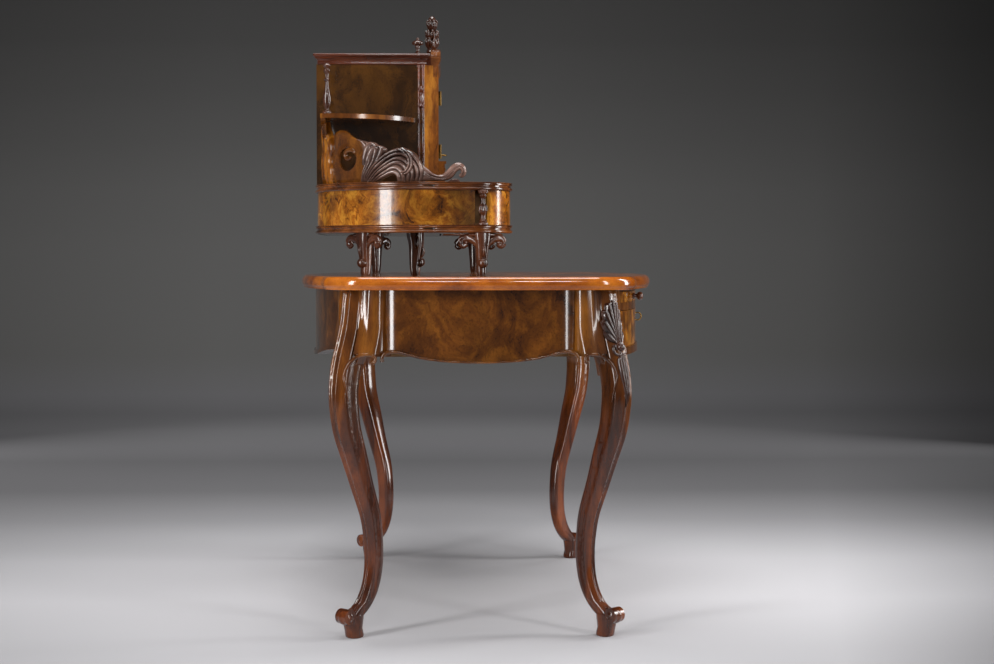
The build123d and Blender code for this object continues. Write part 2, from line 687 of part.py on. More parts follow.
# ---------- drawer case ----------
def case_outline():
    corner_x = CASE_HALF_LENGTH - CASE_CORNER_RADIUS
    corner_y = CASE_BACK - CASE_CORNER_RADIUS
    slant = CASE_CORNER_RADIUS / sqrt(2)
    end = (CASE_HALF_LENGTH, corner_y)
    edges = []
    for side in (1, -1):
        def at(x, y):
            return Vector(side * x, y, 0)

        edges.append(Edge.make_line(at(0, CASE_BACK), at(corner_x, CASE_BACK)))
        round_mid = at(corner_x + slant, corner_y + slant)
        edges.append(Edge.make_three_point_arc(at(corner_x, CASE_BACK), round_mid, at(*end)))
        edges.append(Edge.make_three_point_arc(at(*end), at(*CASE_END_HOLLOW), at(*CASE_END_FRONT)))
        edges.append(Edge.make_line(at(*CASE_END_FRONT), at(*LOBE_OUTER)))
        edges.append(Edge.make_three_point_arc(at(*LOBE_OUTER), at(*LOBE_MID), at(*LOBE_INNER)))
        edges.append(Edge.make_line(at(*LOBE_INNER), at(*RECESS)))
        edges.append(Edge.make_line(at(*RECESS), at(0, RECESS[1])))
    return plan_face(edges)


def case_columns():
    span = CASE_HIGH - CASE_LOW - 2 * CASE_BOARD
    foot = ((0, 0), (1.0, 0), (1.0, 0.07), (0.75, 0.10), (0.95, 0.15), (0.6, 0.2), (0.55, 0.28))
    belly = ((0.9, 0.36), (1.0, 0.45), (0.8, 0.55), (0.5, 0.7), (0.45, 0.8))
    head = ((0.85, 0.86), (0.7, 0.9), (1.0, 0.93), (1.0, 1.0), (0, 1.0))
    post = turned([(out * COLUMN_RADIUS, up * span) for out, up in foot + belly + head])
    return Pos(COLUMN_AT[0], COLUMN_AT[1], CASE_LOW + CASE_BOARD) * post


def case_parts():
    outline = case_outline()
    low = CASE_LOW + CASE_BOARD
    high = CASE_HIGH - CASE_BOARD
    base = prism(outline, CASE_LOW, low)
    top = prism(outline, high, CASE_HIGH)
    grown = offset(outline, amount=CASE_MOULDING_PROUD, kind=Kind.INTERSECTION)
    lower = prism(grown, CASE_LOW, low) - base
    upper = prism(grown, high, CASE_HIGH) - top
    body = prism(outline, low, high)
    bore = Solid.make_cylinder(COLUMN_RADIUS, CASE_HIGH)
    notch = Pos(COLUMN_AT[0], COLUMN_AT[1], 0) * bore
    body = body - notch - flip_x(notch)
    corner_x = CASE_HALF_LENGTH - CASE_CORNER_RADIUS
    corner_y = CASE_BACK - CASE_CORNER_RADIUS
    hollow = Pos(corner_x, corner_y, low) * Solid.make_cylinder(CASE_CORNER_RADIUS - CASE_WALL, high - low)
    front_hollow = block(0, CASE_END_HOLLOW[0] - CASE_WALL, LOBE_OUTER[1] - 60, corner_y, low, high)
    corner = (body & block(corner_x, CASE_HALF_LENGTH, LOBE_OUTER[1] + 18, CASE_BACK, low, high)) - hollow
    corner = corner - front_hollow
    back = body & block(-corner_x, corner_x, CASE_BACK - CASE_WALL, CASE_BACK, low, high)
    post = body & block(SIDE_TRAY[1] + RUN_GAP, CASE_HALF_LENGTH, LOBE_MID[1], LOBE_OUTER[1] + 18, low, high)
    inner_x = RECESS[0] - CASE_WALL
    inner_back = CASE_BACK - CASE_WALL
    cheek_front = LOBE_INNER[1] - 10
    cheek = (
        (LOBE_INNER[0] + 1.5, cheek_front),
        (RECESS[0] + 1.5, RECESS[1]),
        (RECESS[0], RECESS[1] + 6),
        (RECESS[0], inner_back),
        (inner_x, inner_back),
        (inner_x, RECESS[1]),
        (LOBE_INNER[0] - CASE_WALL, cheek_front),
    )
    divider = body & polygon_prism(cheek, low, high)
    return base, top, lower, upper, corner + flip_x(corner) + back, post, divider, body


def side_drawer(body):
    low = CASE_LOW + CASE_BOARD + SEAT_GAP
    high = CASE_HIGH - CASE_BOARD - RUN_GAP
    left, right = SIDE_TRAY
    front = body & block(left + 2, right, LOBE_MID[1] - 5, SIDE_FRONT_BACK, low + 0.5, high)
    tray = block(left, right, SIDE_FRONT_BACK, SIDE_TRAY_BACK, low, high - 6)
    inner_back = SIDE_TRAY_BACK - TRAY_WALL
    inner = block(left + TRAY_WALL, right - TRAY_WALL, SIDE_FRONT_BACK, inner_back, low + TRAY_FLOOR, high)
    return front, tray - inner


def centre_drawer():
    low = CASE_LOW + CASE_BOARD + SEAT_GAP
    high = CASE_HIGH - CASE_BOARD - RUN_GAP
    half = CENTRE_TRAY_HALF
    split = RECESS[1] + CENTRE_FRONT_DEEP
    front = block(-half, half, RECESS[1], split, low + 0.5, high)
    tray = block(-half, half, split, CENTRE_TRAY_BACK, low, high - 6)
    inner_half = half - TRAY_WALL
    inner = block(-inner_half, inner_half, split, CENTRE_TRAY_BACK - TRAY_WALL, low + TRAY_FLOOR, high)
    return front, tray - inner


# ---------- small stand legs ----------
def stand_leg(at, direction):
    shaft = cabriole(STAND_ROWS, 1.0)
    top = STAND_ROWS[0][1]
    toe = cross_cylinder((STAND_TOE_OUT, STAND_TOE_RADIUS), STAND_TOE_RADIUS, STAND_ROWS[-1][2] + 2)
    radius = STAND_EAR_RADIUS
    leg = shaft + toe + block(-10, 8, -STAND_EAR_OUT, STAND_EAR_OUT, top - 8, top)
    for side in (-1, 1):
        plane = Plane(origin=(-8, side * STAND_EAR_OUT, top - radius), z_dir=(1, 0, 0))
        leg = leg + Solid.make_cylinder(radius, 16, plane)
    heading = Vector(direction[0], direction[1], 0)
    stand = Plane(origin=(at[0], at[1], TABLE_HEIGHT), x_dir=heading, z_dir=(0, 0, 1))
    return stand.location * leg


# ---------- cabinet ----------
def pilaster():
    inner_x, outer_x, outer_y = PILASTER_CANT
    points = (
        (PILASTER_INNER, PILASTER_FRONT),
        (inner_x, PILASTER_FRONT),
        (outer_x, outer_y),
        (CAB_HALF, outer_y + 4),
        (CAB_HALF, CAB_SIDE_FRONT),
        (PILASTER_INNER, CAB_SIDE_FRONT),
    )
    post = polygon_prism(points, CASE_HIGH, CAB_HIGH) - half_column_body()
    plinth_top = CASE_HIGH + PLINTH_HIGH
    cap_low = plinth_top - PLINTH_CAP
    front = PILASTER_FRONT - PLINTH_PROUD
    plinth = block(PILASTER_INNER, inner_x, front, PILASTER_FRONT, CASE_HIGH, plinth_top)
    cap = block(PILASTER_INNER, inner_x, front - PLINTH_CAP_PROUD, PILASTER_FRONT, cap_low, plinth_top)
    return post + plinth + cap


def half_column_body():
    length = CAB_HIGH - CASE_HIGH
    return Pos(CAB_HALF, PILASTER_CANT[2] + 3, CASE_HIGH) * Solid.make_cylinder(HALF_COLUMN_RADIUS, length)


def half_column():
    length = CAB_HIGH - CASE_HIGH
    radius = HALF_COLUMN_RADIUS
    drop_low = 0.62 * length
    shaft = radius - 1.2
    waist = radius / 2
    foot = ((0, 0), (radius, 0), (radius, 12), (shaft, 15), (shaft, drop_low), (radius, drop_low + 3))
    drop = ((waist, drop_low + 6), (radius, drop_low + 14), (radius, drop_low + 20), (waist, drop_low + 27))
    neck = ((radius, drop_low + 31), (shaft, drop_low + 34), (shaft, length - 4))
    head = ((radius, length - 2), (radius, length), (0, length))
    return Pos(CAB_HALF, PILASTER_CANT[2] + 3, CASE_HIGH) * turned(foot + drop + neck + head)


def cornice():
    solid = None
    rear = CAB_BACK + CORNICE_BACK_PROUD
    for low, high, proud in CORNICE_STEPS:
        step = block(-CAB_HALF - proud, CAB_HALF + proud, PEDIMENT_BACK, rear, low, high)
        solid = step if solid is None else solid + step
    return solid


def arched(half, side_z, mid_z, low_z, y0, y1):
    # Flat below, arched above, run from y0 back to y1.
    low_left = Vector(-half, y0, low_z)
    low_right = Vector(half, y0, low_z)
    high_left = Vector(-half, y0, side_z)
    high_right = Vector(half, y0, side_z)
    edges = [Edge.make_line(low_left, low_right), Edge.make_line(low_right, high_right)]
    edges.append(Edge.make_three_point_arc(high_right, Vector(0, y0, mid_z), high_left))
    edges.append(Edge.make_line(high_left, low_left))
    return front_profile(edges, y0, y1)


def pediment():
    # A flat field with a projecting cap that follows its arch, and a flared band under the cap.
    half = PEDIMENT_HALF
    wide = half + 4
    back = PEDIMENT_BACK
    cap_front = PEDIMENT_FRONT - PEDIMENT_CAP_PROUD
    flare_front = PEDIMENT_FRONT - PEDIMENT_FLARE_PROUD
    field = arched(half, PEDIMENT_SIDE, PEDIMENT_MID, PEDIMENT_LOW, PEDIMENT_FRONT, back)
    cap_side = PEDIMENT_SIDE + PEDIMENT_CAP
    cap = arched(wide, cap_side, PEDIMENT_MID + PEDIMENT_CAP, PEDIMENT_SIDE - 12, cap_front, back)
    cap = cap - arched(wide + 1, PEDIMENT_SIDE, PEDIMENT_MID, PEDIMENT_SIDE - 13, cap_front - 1, back + 1)
    flare = arched(wide, PEDIMENT_SIDE, PEDIMENT_MID, PEDIMENT_LOW + 22, flare_front, back)
    flare_low = PEDIMENT_CAP - 1
    flare = flare - arched(wide + 1, PEDIMENT_SIDE - flare_low, PEDIMENT_MID - flare_low, PEDIMENT_LOW,
                           flare_front - 1, back + 1)
    return field + cap + flare


def crest():
    # Upright carved leaf on the middle of the pediment.
    base = PEDIMENT_MID + PEDIMENT_CAP
    top = CREST_TOP - base
    foot = ((26, 0), (30, 6), (22, 12), (13, 16), (15, 26), (12, 38))
    head = ((7, 48), (8, 56), (5, 62), (7, 68), (5, top - 4), (0, top))
    right = [Vector(x, CREST_FRONT, base - 1.5 + z) for x, z in foot + head]
    left = [Vector(-point.X, point.Y, point.Z) for point in reversed(right[:-1])]
    plate = extrude(Face(Wire.make_polygon(right + left)), amount=CREST_DEEP, dir=(0, 1, 0))
    middle = CREST_FRONT + CREST_DEEP / 2
    boss = Pos(0, middle, base + 24) * Solid.make_sphere(17)
    bud = Pos(0, middle, base + top - 14) * Solid.make_sphere(10)
    return plate + boss + bud


def corner_finial(x, y):
    stem = ((0, 0), (8, 0), (8, 3), (5, 5), (4, 12), (5, 17), (3.5, 20))
    cap = ((12.5, 24), (13, 27), (9, 30), (3, 33), (3.5, 36), (0, 38))
    return Pos(x, y, CORNICE_STEPS[-1][1]) * turned(stem + cap)


def door():
    y0 = DOOR_FRONT
    y1 = DOOR_FRONT + DOOR_THICK
    frame = block(-DOOR_HALF, DOOR_HALF, y0, y1, DOOR_LOW, DOOR_HIGH)
    inner = DOOR_HALF - DOOR_STILE
    frame = frame - block(-inner, inner, y0 - 1, y1 + 1, DOOR_LOW + DOOR_STILE, DOOR_HIGH - DOOR_STILE)
    rebate = DOOR_BEAD_THICK + MIRROR_FIT
    frame = frame - block(-inner - rebate, inner + rebate, y1 - 9, y1 + 1,
                          DOOR_LOW + DOOR_STILE - rebate, DOOR_HIGH - DOOR_STILE + rebate)
    glass_y = y1 - 9
    mirror_pane = block(-inner - 6, inner + 6, glass_y, glass_y + MIRROR_THICK,
                        DOOR_LOW + DOOR_STILE - 6, DOOR_HIGH - DOOR_STILE + 6)
    return frame, mirror_pane


def door_hinges():
    # Pins and leaves stay with the pilaster, knuckles and leaves go with the door.
    pins = []
    knuckles = []
    x, y = HINGE_AT
    high = HINGE_KNUCKLE_HIGH
    for low in HINGE_LEVELS:
        pin = Pos(x, y, low - high) * Solid.make_cylinder(HINGE_PIN_RADIUS, 2 * high)
        foot = Pos(x, y, low - high) * Solid.make_cylinder(HINGE_KNUCKLE_RADIUS, high - 0.3)
        leaf = block(x - 7, x, PILASTER_FRONT - 1.2, PILASTER_FRONT, low - high, low - 0.3)
        bridge = block(x - 3, x, y, PILASTER_FRONT, low - high, low - 0.3)
        pins.append(pin + foot + leaf + bridge)
        tube = Pos(x, y, low) * Solid.make_cylinder(HINGE_KNUCKLE_RADIUS, high)
        tube = tube + block(x + 1.6, x + 3.0, y, DOOR_FRONT, low, low + high)
        tube = tube + block(x + 1.6, x + 14, DOOR_FRONT - 1.2, DOOR_FRONT, low, low + high)
        bore = Pos(x, y, low - 1) * Solid.make_cylinder(HINGE_PIN_RADIUS + HINGE_FIT, high + 2)
        knuckles.append(tube - bore)
    return pins, knuckles


# ---------- side shelves, wings and gallery ----------
def side_shelf():
    x0 = CAB_HALF
    y1 = SIDE_SHELF_BACK
    out = SIDE_SHELF_OUT
    deep = SIDE_SHELF_DEEP
    tip = (x0 + out, y1 - 18)
    bend = (x0 + 0.78 * out, y1 - 0.55 * deep)
    edges = [Line((x0, y1), (x0 + out - 14, y1)), Line((x0 + out - 14, y1), tip)]
    edges.append(ThreePointArc(tip, bend, (x0, y1 - deep)))
    edges.append(Line((x0, y1 - deep), (x0, y1)))
    return prism(plan_face(edges), SIDE_SHELF_LOW, SIDE_SHELF_LOW + SIDE_SHELF_THICK)


def wing_plank():
    # Shaped upright behind the shelf, waved along its outer edge.
    wave = ((62, 0), (66, 14), (50, 34), (58, 56), (46, 78), (60, 98), (92, 112), (120, 128))
    points = [Vector(CAB_HALF + out, WING_FRONT, CASE_HIGH + up) for out, up in wave]
    points.append(Vector(CAB_HALF + 126, WING_FRONT, SIDE_SHELF_LOW))
    points.append(Vector(CAB_HALF, WING_FRONT, SIDE_SHELF_LOW))
    points.append(Vector(CAB_HALF, WING_FRONT, CASE_HIGH))
    return extrude(Face(Wire.make_polygon(points)), amount=SIDE_SHELF_BACK - WING_FRONT, dir=(0, 1, 0))


def baluster():
    base = SIDE_SHELF_LOW + SIDE_SHELF_THICK
    tall = BALUSTER_TOP - base
    vase = ((0, 0), (10, 0), (10, 0.05), (5, 0.09), (8, 0.2), (9, 0.3), (6, 0.45), (4, 0.6))
    rings = ((7, 0.66), (4, 0.7), (5, 0.8), (8, 0.86), (5, 0.9), (9, 0.95), (6, 1.0), (0, 1.0))
    post = turned([(out, up * tall) for out, up in vase + rings])
    return Pos(BALUSTER_AT[0], BALUSTER_AT[1], base) * post


def gallery_band(inset, thick):
    corner_x = CASE_HALF_LENGTH - CASE_CORNER_RADIUS
    corner_y = CASE_BACK - CASE_CORNER_RADIUS
    outer = CASE_CORNER_RADIUS - inset
    high = 200.0
    ring = Solid.make_cylinder(outer, high) - Solid.make_cylinder(outer - thick, high)
    ring = Pos(corner_x, corner_y, CASE_HIGH) * ring
    ring = ring & block(corner_x, CASE_HALF_LENGTH, corner_y, CASE_BACK, CASE_HIGH, CASE_HIGH + high)
    outer_x = CASE_HALF_LENGTH - inset
    straight = block(outer_x - thick, outer_x, 25.0, corner_y, CASE_HIGH, CASE_HIGH + high)
    return ring + straight


# Depth and height points of the plank's waved outline and of the two leaf panels.
GALLERY_OUTLINE = (
    (332, 962), (332, 1000), (327, 1030), (318, 1056), (304, 1072), (288, 1078), (270, 1071), (252, 1056),
    (232, 1040), (206, 1034), (180, 1037), (158, 1030), (136, 1008), (118, 986), (98, 975), (78, 974),
    (62, 984), (50, 1000), (40, 1006), (31, 1002), (28, 990), (34, 978), (44, 972), (48, 962),
)
LEAF_OUTLINES = (
    (
        (268, 963), (274, 1000), (270, 1040), (262, 1066), (248, 1064),
        (236, 1050), (224, 1044), (214, 1030), (206, 1000), (200, 963),
    ),
    (
        (198, 963), (204, 998), (206, 1026), (192, 1044), (172, 1048),
        (150, 1040), (132, 1018), (124, 990), (120, 963),
    ),
)


def gallery():
    band = gallery_band(GALLERY_INSET, GALLERY_THICK)
    plank = band & side_profile(GALLERY_OUTLINE, CAB_HALF, CASE_HALF_LENGTH + 5)
    eye_plane = Plane(origin=(CAB_HALF, EYE[0], EYE[1]), z_dir=(1, 0, 0))
    plank = plank - Solid.make_cylinder(EYE[2], CASE_HALF_LENGTH, eye_plane)
    leaf_band = gallery_band(GALLERY_INSET - LEAF_PROUD, LEAF_PROUD)
    leaves = [leaf_band & side_profile(points, CAB_HALF, CASE_HALF_LENGTH + 5) for points in LEAF_OUTLINES]
    return plank, leaves


# ---------- front knees ----------
def across_prism(points):
    # A closed outline drawn across the leg and up it, run outward along the diagonal.
    outline = Wire.make_polygon([Vector(-10, side, high) for side, high in points])
    return extrude(Face(outline), amount=90, dir=(1, 0, 0))


def knee_carving(leg):
    # Fanned shell over a boss and a hanging leaf, standing a little proud of the front knees.
    rows = [(out, high, across + 4, deep + 2 * CARVING_PROUD) for out, high, across, deep in LEG_ROWS[:7]]
    skin = cabriole(rows, 0.0)
    fan = []
    for step in range(-12, 13):
        spread = step / 12 * SHELL_SPREAD
        reach = SHELL_REACH * (1.0 if step % 4 else 0.93)
        fan.append((reach * sin(spread) * 0.62, BOSS_HIGH + reach * cos(spread)))
    fan.append((6.0, BOSS_HIGH))
    fan.append((-6.0, BOSS_HIGH))
    shell = skin & across_prism(fan)
    left_half = [(-side, high) for side, high in KNEE_LEAF_HALF]
    right_half = list(reversed(KNEE_LEAF_HALF))
    leaf = skin & across_prism(left_half + [(0.0, KNEE_LEAF_TIP)] + right_half)
    boss = Pos(BOSS_OUT, 0, BOSS_HIGH) * Solid.make_sphere(BOSS_RADIUS)
    corner = Plane(origin=(LEG_FOOT[0], LEG_FOOT[1], 0), x_dir=(1, 1, 0), z_dir=(0, 0, 1)).location
    placed = corner * (shell + leaf + boss)
    return placed - leg


# ---------- build and save ----------
def both(shape):
    return Compound(children=[shape, flip_x(shape)])


panel, edge_band = table_top()
save(panel, "table_top_panel")
save(edge_band, "table_top_moulding")

leg = leg_in_place()
legs = [leg, flip_x(leg), flip_y(leg), flip_x(flip_y(leg))]
for name, solid in zip(("leg_back_right", "leg_back_left", "leg_front_right", "leg_front_left"), legs):
    save(solid, name)
save(both(flip_y(knee_carving(leg))), "knee_carvings")

apron = end_apron()
save(apron, "apron_right")
save(flip_x(apron), "apron_left")
rear = back_apron()
save(rear, "apron_back")

front_y = -CARCASS_HALF_DEPTH
lock_y = front_y + DRAWER_FRONT_DEEP - LOCK_LET_IN
bolt_y = lock_y + BOLT_AT
slot_half = BOLT_HALF + BOLT_SLOT_GAP
slot_near = bolt_y - BOLT_SLOT_GAP
slot_far = bolt_y + BOLT_THICK + BOLT_SLOT_GAP
reach_up = KEY_HIGH + LOCK_HIGH + BOLT_THROW + BOLT_SLOT_GAP
slot = block(-slot_half, slot_half, slot_near, slot_far, RAIL_UPPER_LOW - 1, reach_up)
upper, strip, lower = front_rails(slot)
save(Compound(children=[upper, strip]), "front_rails_upper")
save(lower, "front_rail_lower")
bars = runners(legs + [upper, lower, rear])
save(Compound(children=[bars[0], flip_x(bars[0]), bars[1], flip_x(bars[1])]), "drawer_runners")

board, recess = slide_board()
save(board, "writing_slide_board")
save(recess, "writing_slide_leather")
save(both(slide_knob(KNOB_AT) - board), "slide_knobs")

front, side, back, bottom = desk_drawer()
lock_place = Pos(0, lock_y, KEY_HIGH)
wood = DRAWER_FRONT_DEEP - LOCK_LET_IN
pocket = block(-LOCK_HALF, LOCK_HALF, 0, LOCK_DEEP, LOCK_LOW, LOCK_HIGH + 10)
front = front - lock_place * pocket - lock_place * key_bore(-wood - 5, 1, KEY_FIT)
save(front, "drawer_front")
save(both(side), "drawer_sides")
save(back, "drawer_back")
save(bottom, "drawer_bottom")
save(lock_place * lock_case(), "drawer_lock_case")
save(lock_place * escutcheon(wood) - front, "drawer_escutcheon")
save(lock_place * lock_key(wood), "drawer_key")
save(lock_place * lock_bolt(), "drawer_bolt")

base, case_top, lower_band, upper_band, walls, post, divider, body = case_parts()
save(base, "case_base_board")
save(case_top, "case_top_board")
save(lower_band, "case_lower_moulding")
save(upper_band, "case_upper_moulding")
save(walls, "case_walls")
divider = divider - walls
save(Compound(children=[post, flip_x(post), divider, flip_x(divider)]), "case_uprights")
save(both(case_columns()), "case_columns")
side_front, side_tray = side_drawer(body)
save(side_front, "right_drawer_front")
save(side_tray, "right_drawer_tray")
save(flip_x(side_front), "left_drawer_front")
save(flip_x(side_tray), "left_drawer_tray")
centre_front, centre_tray = centre_drawer()
save(centre_front, "centre_drawer_front")
save(centre_tray, "centre_drawer_tray")

stands = [stand_leg(STAND_BACK_AT, (1, 1)), stand_leg(STAND_COLUMN_AT, (1, -0.35))]
stands.append(stand_leg(STAND_RECESS_AT, (0, -1)))
save(Compound(children=stands + [flip_x(stand) for stand in stands]), "stand_legs")

cab_side = block(CAB_HALF - CAB_WALL, CAB_HALF, CAB_SIDE_FRONT, CAB_BACK - CAB_WALL, CASE_HIGH, CAB_HIGH)
save(both(cab_side), "cabinet_sides")
save(block(-CAB_HALF, CAB_HALF, CAB_BACK - CAB_WALL, CAB_BACK, CASE_HIGH, CAB_HIGH), "cabinet_back")
shelf_half = CAB_HALF - CAB_WALL
shelf_back = CAB_BACK - CAB_WALL
shelf_high = SHELF_LOW + SHELF_THICK
save(block(-shelf_half, shelf_half, CAB_SIDE_FRONT + 10, shelf_back, SHELF_LOW, shelf_high), "cabinet_shelf")
bolt_place = Pos(DOOR_KEY_AT[0], DOOR_FRONT + DOOR_THICK, DOOR_KEY_AT[1]) * Rot(Y=90)
slot_depth = BOLT_THROW + BOLT_SLOT_GAP
near = BOLT_AT - BOLT_SLOT_GAP
far = BOLT_AT + BOLT_THICK + BOLT_SLOT_GAP
door_slot = bolt_place * block(-slot_half, slot_half, near, far, LOCK_HIGH, LOCK_HIGH + slot_depth)
head = pediment()
right_pilaster = pilaster() - head
save(Compound(children=[right_pilaster - door_slot, flip_x(right_pilaster)]), "cabinet_pilasters")
save(both(half_column()), "cabinet_half_columns")
save(cornice(), "cabinet_cornice")
save(head, "cabinet_pediment")
save(crest() - head, "pediment_crest")
save(both(corner_finial(FINIAL_AT[0], FINIAL_AT[1])), "corner_finials")

door_frame, mirror_pane = door()
door_frame = door_frame - bolt_place * key_bore(-DOOR_THICK - 1, 1, KEY_FIT)
pins, knuckles = door_hinges()
save(door_frame, "door_frame")
save(mirror_pane, "door_mirror")
save(Compound(children=pins), "door_hinge_pins")
save(Compound(children=knuckles), "door_hinge_knuckles")
save(bolt_place * lock_case(), "door_lock_case")
save(bolt_place * escutcheon(DOOR_THICK) - door_frame, "door_escutcheon")
save(bolt_place * lock_key(DOOR_THICK), "door_key")
save(bolt_place * lock_bolt(), "door_bolt")

save(both(side_shelf()), "side_shelves")
save(both(wing_plank()), "wing_planks")
save(both(baluster()), "shelf_balusters")
plank, leaves = gallery()
save(both(plank), "gallery_planks")
save(Compound(children=leaves + [flip_x(leaf) for leaf in leaves]), "gallery_leaves")
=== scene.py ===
import math

import bmesh
import bpy
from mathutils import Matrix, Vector


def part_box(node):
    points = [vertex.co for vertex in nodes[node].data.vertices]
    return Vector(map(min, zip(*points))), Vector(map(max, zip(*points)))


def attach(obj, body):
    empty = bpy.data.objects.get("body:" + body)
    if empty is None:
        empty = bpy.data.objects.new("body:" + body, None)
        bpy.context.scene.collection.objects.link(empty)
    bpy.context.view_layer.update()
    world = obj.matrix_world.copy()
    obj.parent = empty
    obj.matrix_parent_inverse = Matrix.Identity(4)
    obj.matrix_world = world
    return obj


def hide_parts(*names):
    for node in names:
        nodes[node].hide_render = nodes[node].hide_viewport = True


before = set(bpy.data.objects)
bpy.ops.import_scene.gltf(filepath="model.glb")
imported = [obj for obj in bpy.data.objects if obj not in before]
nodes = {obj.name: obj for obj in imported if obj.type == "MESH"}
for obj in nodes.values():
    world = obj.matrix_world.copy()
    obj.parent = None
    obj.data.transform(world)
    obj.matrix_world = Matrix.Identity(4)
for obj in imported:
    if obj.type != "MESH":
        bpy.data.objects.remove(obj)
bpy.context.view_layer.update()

# ---------------------------------------------------------------- studio
# A pale paper floor that bends up into a darker wall, with painted light and shade in bands across it,
# painted shade to both sides of the camera's view and a painted shadow under the table; tall soft
# strips round the table, one wide soft lamp overhead, and the camera level with the table top, off its left
# end.

SWEEP_START, SWEEP_BEND, SWEEP_RADIUS = -9.0, 5.0, 2.5
SWEEP_TOP, SWEEP_HALF, BEND_STEPS = 9.0, 12.0, 12
PAPER_REACH = (-1.5, 7.5)
# Painted light and shade on the paper: grey tones in bands from the near floor to the top of the wall.
PAPER_PAINTED_LIGHT_TONES = ((0.0, 0.36), (0.097, 0.44), (0.157, 0.55), (0.219, 0.49), (0.30, 0.28), (0.38, 0.165),
               (0.48, 0.155), (0.62, 0.33), (0.78, 0.39), (0.84, 0.325), (0.93, 0.315), (0.961, 0.29),
               (0.983, 0.235), (0.995, 0.195), (1.0, 0.16))
PAPER_GREEN, FLOOR_BLUE, WALL_BLUE, WALL_FROM = 0.985, 1.02, 0.96, 0.8
# Painted shade to both sides of the camera's view: the fan of directions from the camera's place, and its
# tones.
PAINTED_SIDE_SHADE_FAN = (-0.32, 0.32)
PAINTED_SIDE_SHADE_TONES = ((0.0, 0.33), (0.055, 0.44), (0.19, 0.82), (0.42, 1.0), (0.70, 1.0), (0.90, 0.80), (1.0, 0.75))
# A painted shadow under the table: its middle, its reach and its darkest tone.
PAINTED_SHADOW_MIDDLE, PAINTED_SHADOW_REACH, PAINTED_SHADOW_TONE = (0.45, 0.08, 0.0), (1.1, 0.42, 1.0), 0.52
LAMP_AIM = (0.0, 0.0, 0.8)
STRIP_TALL, STRIP_MIDDLE = 2.4, 1.45
# Each strip: its name, where it stands, how wide it is and its power. The wide ones aren't mirrored.
STRIPS = (("strip_left_back", -2.3, 2.25, 0.55, 75.0), ("strip_front", 0.05, -2.5, 0.5, 60.0),
          ("strip_left_front", -2.5, -2.1, 0.4, 40.0), ("wide_right_back", 2.6, 2.8, 1.8, 45.0),
          ("wide_right_front", 2.8, -2.6, 1.4, 35.0))
OVERHEAD_PLACE, OVERHEAD_SIZE, OVERHEAD_POWER = (-0.2, 0.0, 3.4), (1.9, 1.5), 78.0
HIGH_LAMPS = (("high_left", (-3.0, 0.22, 2.5)), ("high_right", (-3.0, -0.52, 2.5)))
HIGH_AIM, HIGH_SIZE, HIGH_POWER = (-0.5, 0.0, 0.75), (0.42, 0.2), 9.0
WORLD_COLOUR, WORLD_LIGHT = (0.78, 0.78, 0.8, 1.0), 0.14
CAMERA_PLACE, CAMERA_LENS = (-4.35, 0.09, 0.805), 66.46
CAMERA_YAW, CAMERA_PITCH = math.radians(1.87), math.radians(2.4)


def shader_of(name):
    material = bpy.data.materials.new(name)
    material.use_nodes = True
    return material, material.node_tree, material.node_tree.nodes["Principled BSDF"]


def colour_ramp(tree, factor, stops):
    node = tree.nodes.new("ShaderNodeValToRGB")
    band = node.color_ramp
    band.elements[0].position, band.elements[0].color = stops[0]
    band.elements[1].position, band.elements[1].color = stops[-1]
    for place, colour in stops[1:-1]:
        band.elements.new(place).color = colour
    tree.links.new(factor, node.inputs["Fac"])
    return node.outputs["Color"]


def shade_ramp(tree, factor, tones):
    """A run of greys, given as place and tone pairs."""
    return colour_ramp(tree, factor, [(at, (tone, tone, tone, 1.0)) for at, tone in tones])


def ranged(tree, value, given=(0.0, 1.0), wanted=(0.0, 1.0)):
    """A value moved from one range to another and held inside it."""
    node = tree.nodes.new("ShaderNodeMapRange")
    node.inputs["From Min"].default_value, node.inputs["From Max"].default_value = given
    node.inputs["To Min"].default_value, node.inputs["To Max"].default_value = wanted
    tree.links.new(value, node.inputs["Value"])
    return node.outputs["Result"]


def darker_by(tree, colour, tone, share=1.0):
    """A colour multiplied by a tone, in full or by a share."""
    node = tree.nodes.new("ShaderNodeMix")
    node.data_type = "RGBA"
    node.blend_type = "MULTIPLY"
    node.inputs["Factor"].default_value = share
    tree.links.new(colour, node.inputs["A"])
    tree.links.new(tone, node.inputs["B"])
    return node.outputs["Result"]


def vector_step(tree, kind, vector, by=(0.0, 0.0, 0.0)):
    node = tree.nodes.new("ShaderNodeVectorMath")
    node.operation = kind
    node.inputs[1].default_value = by
    tree.links.new(vector, node.inputs[0])
    return node


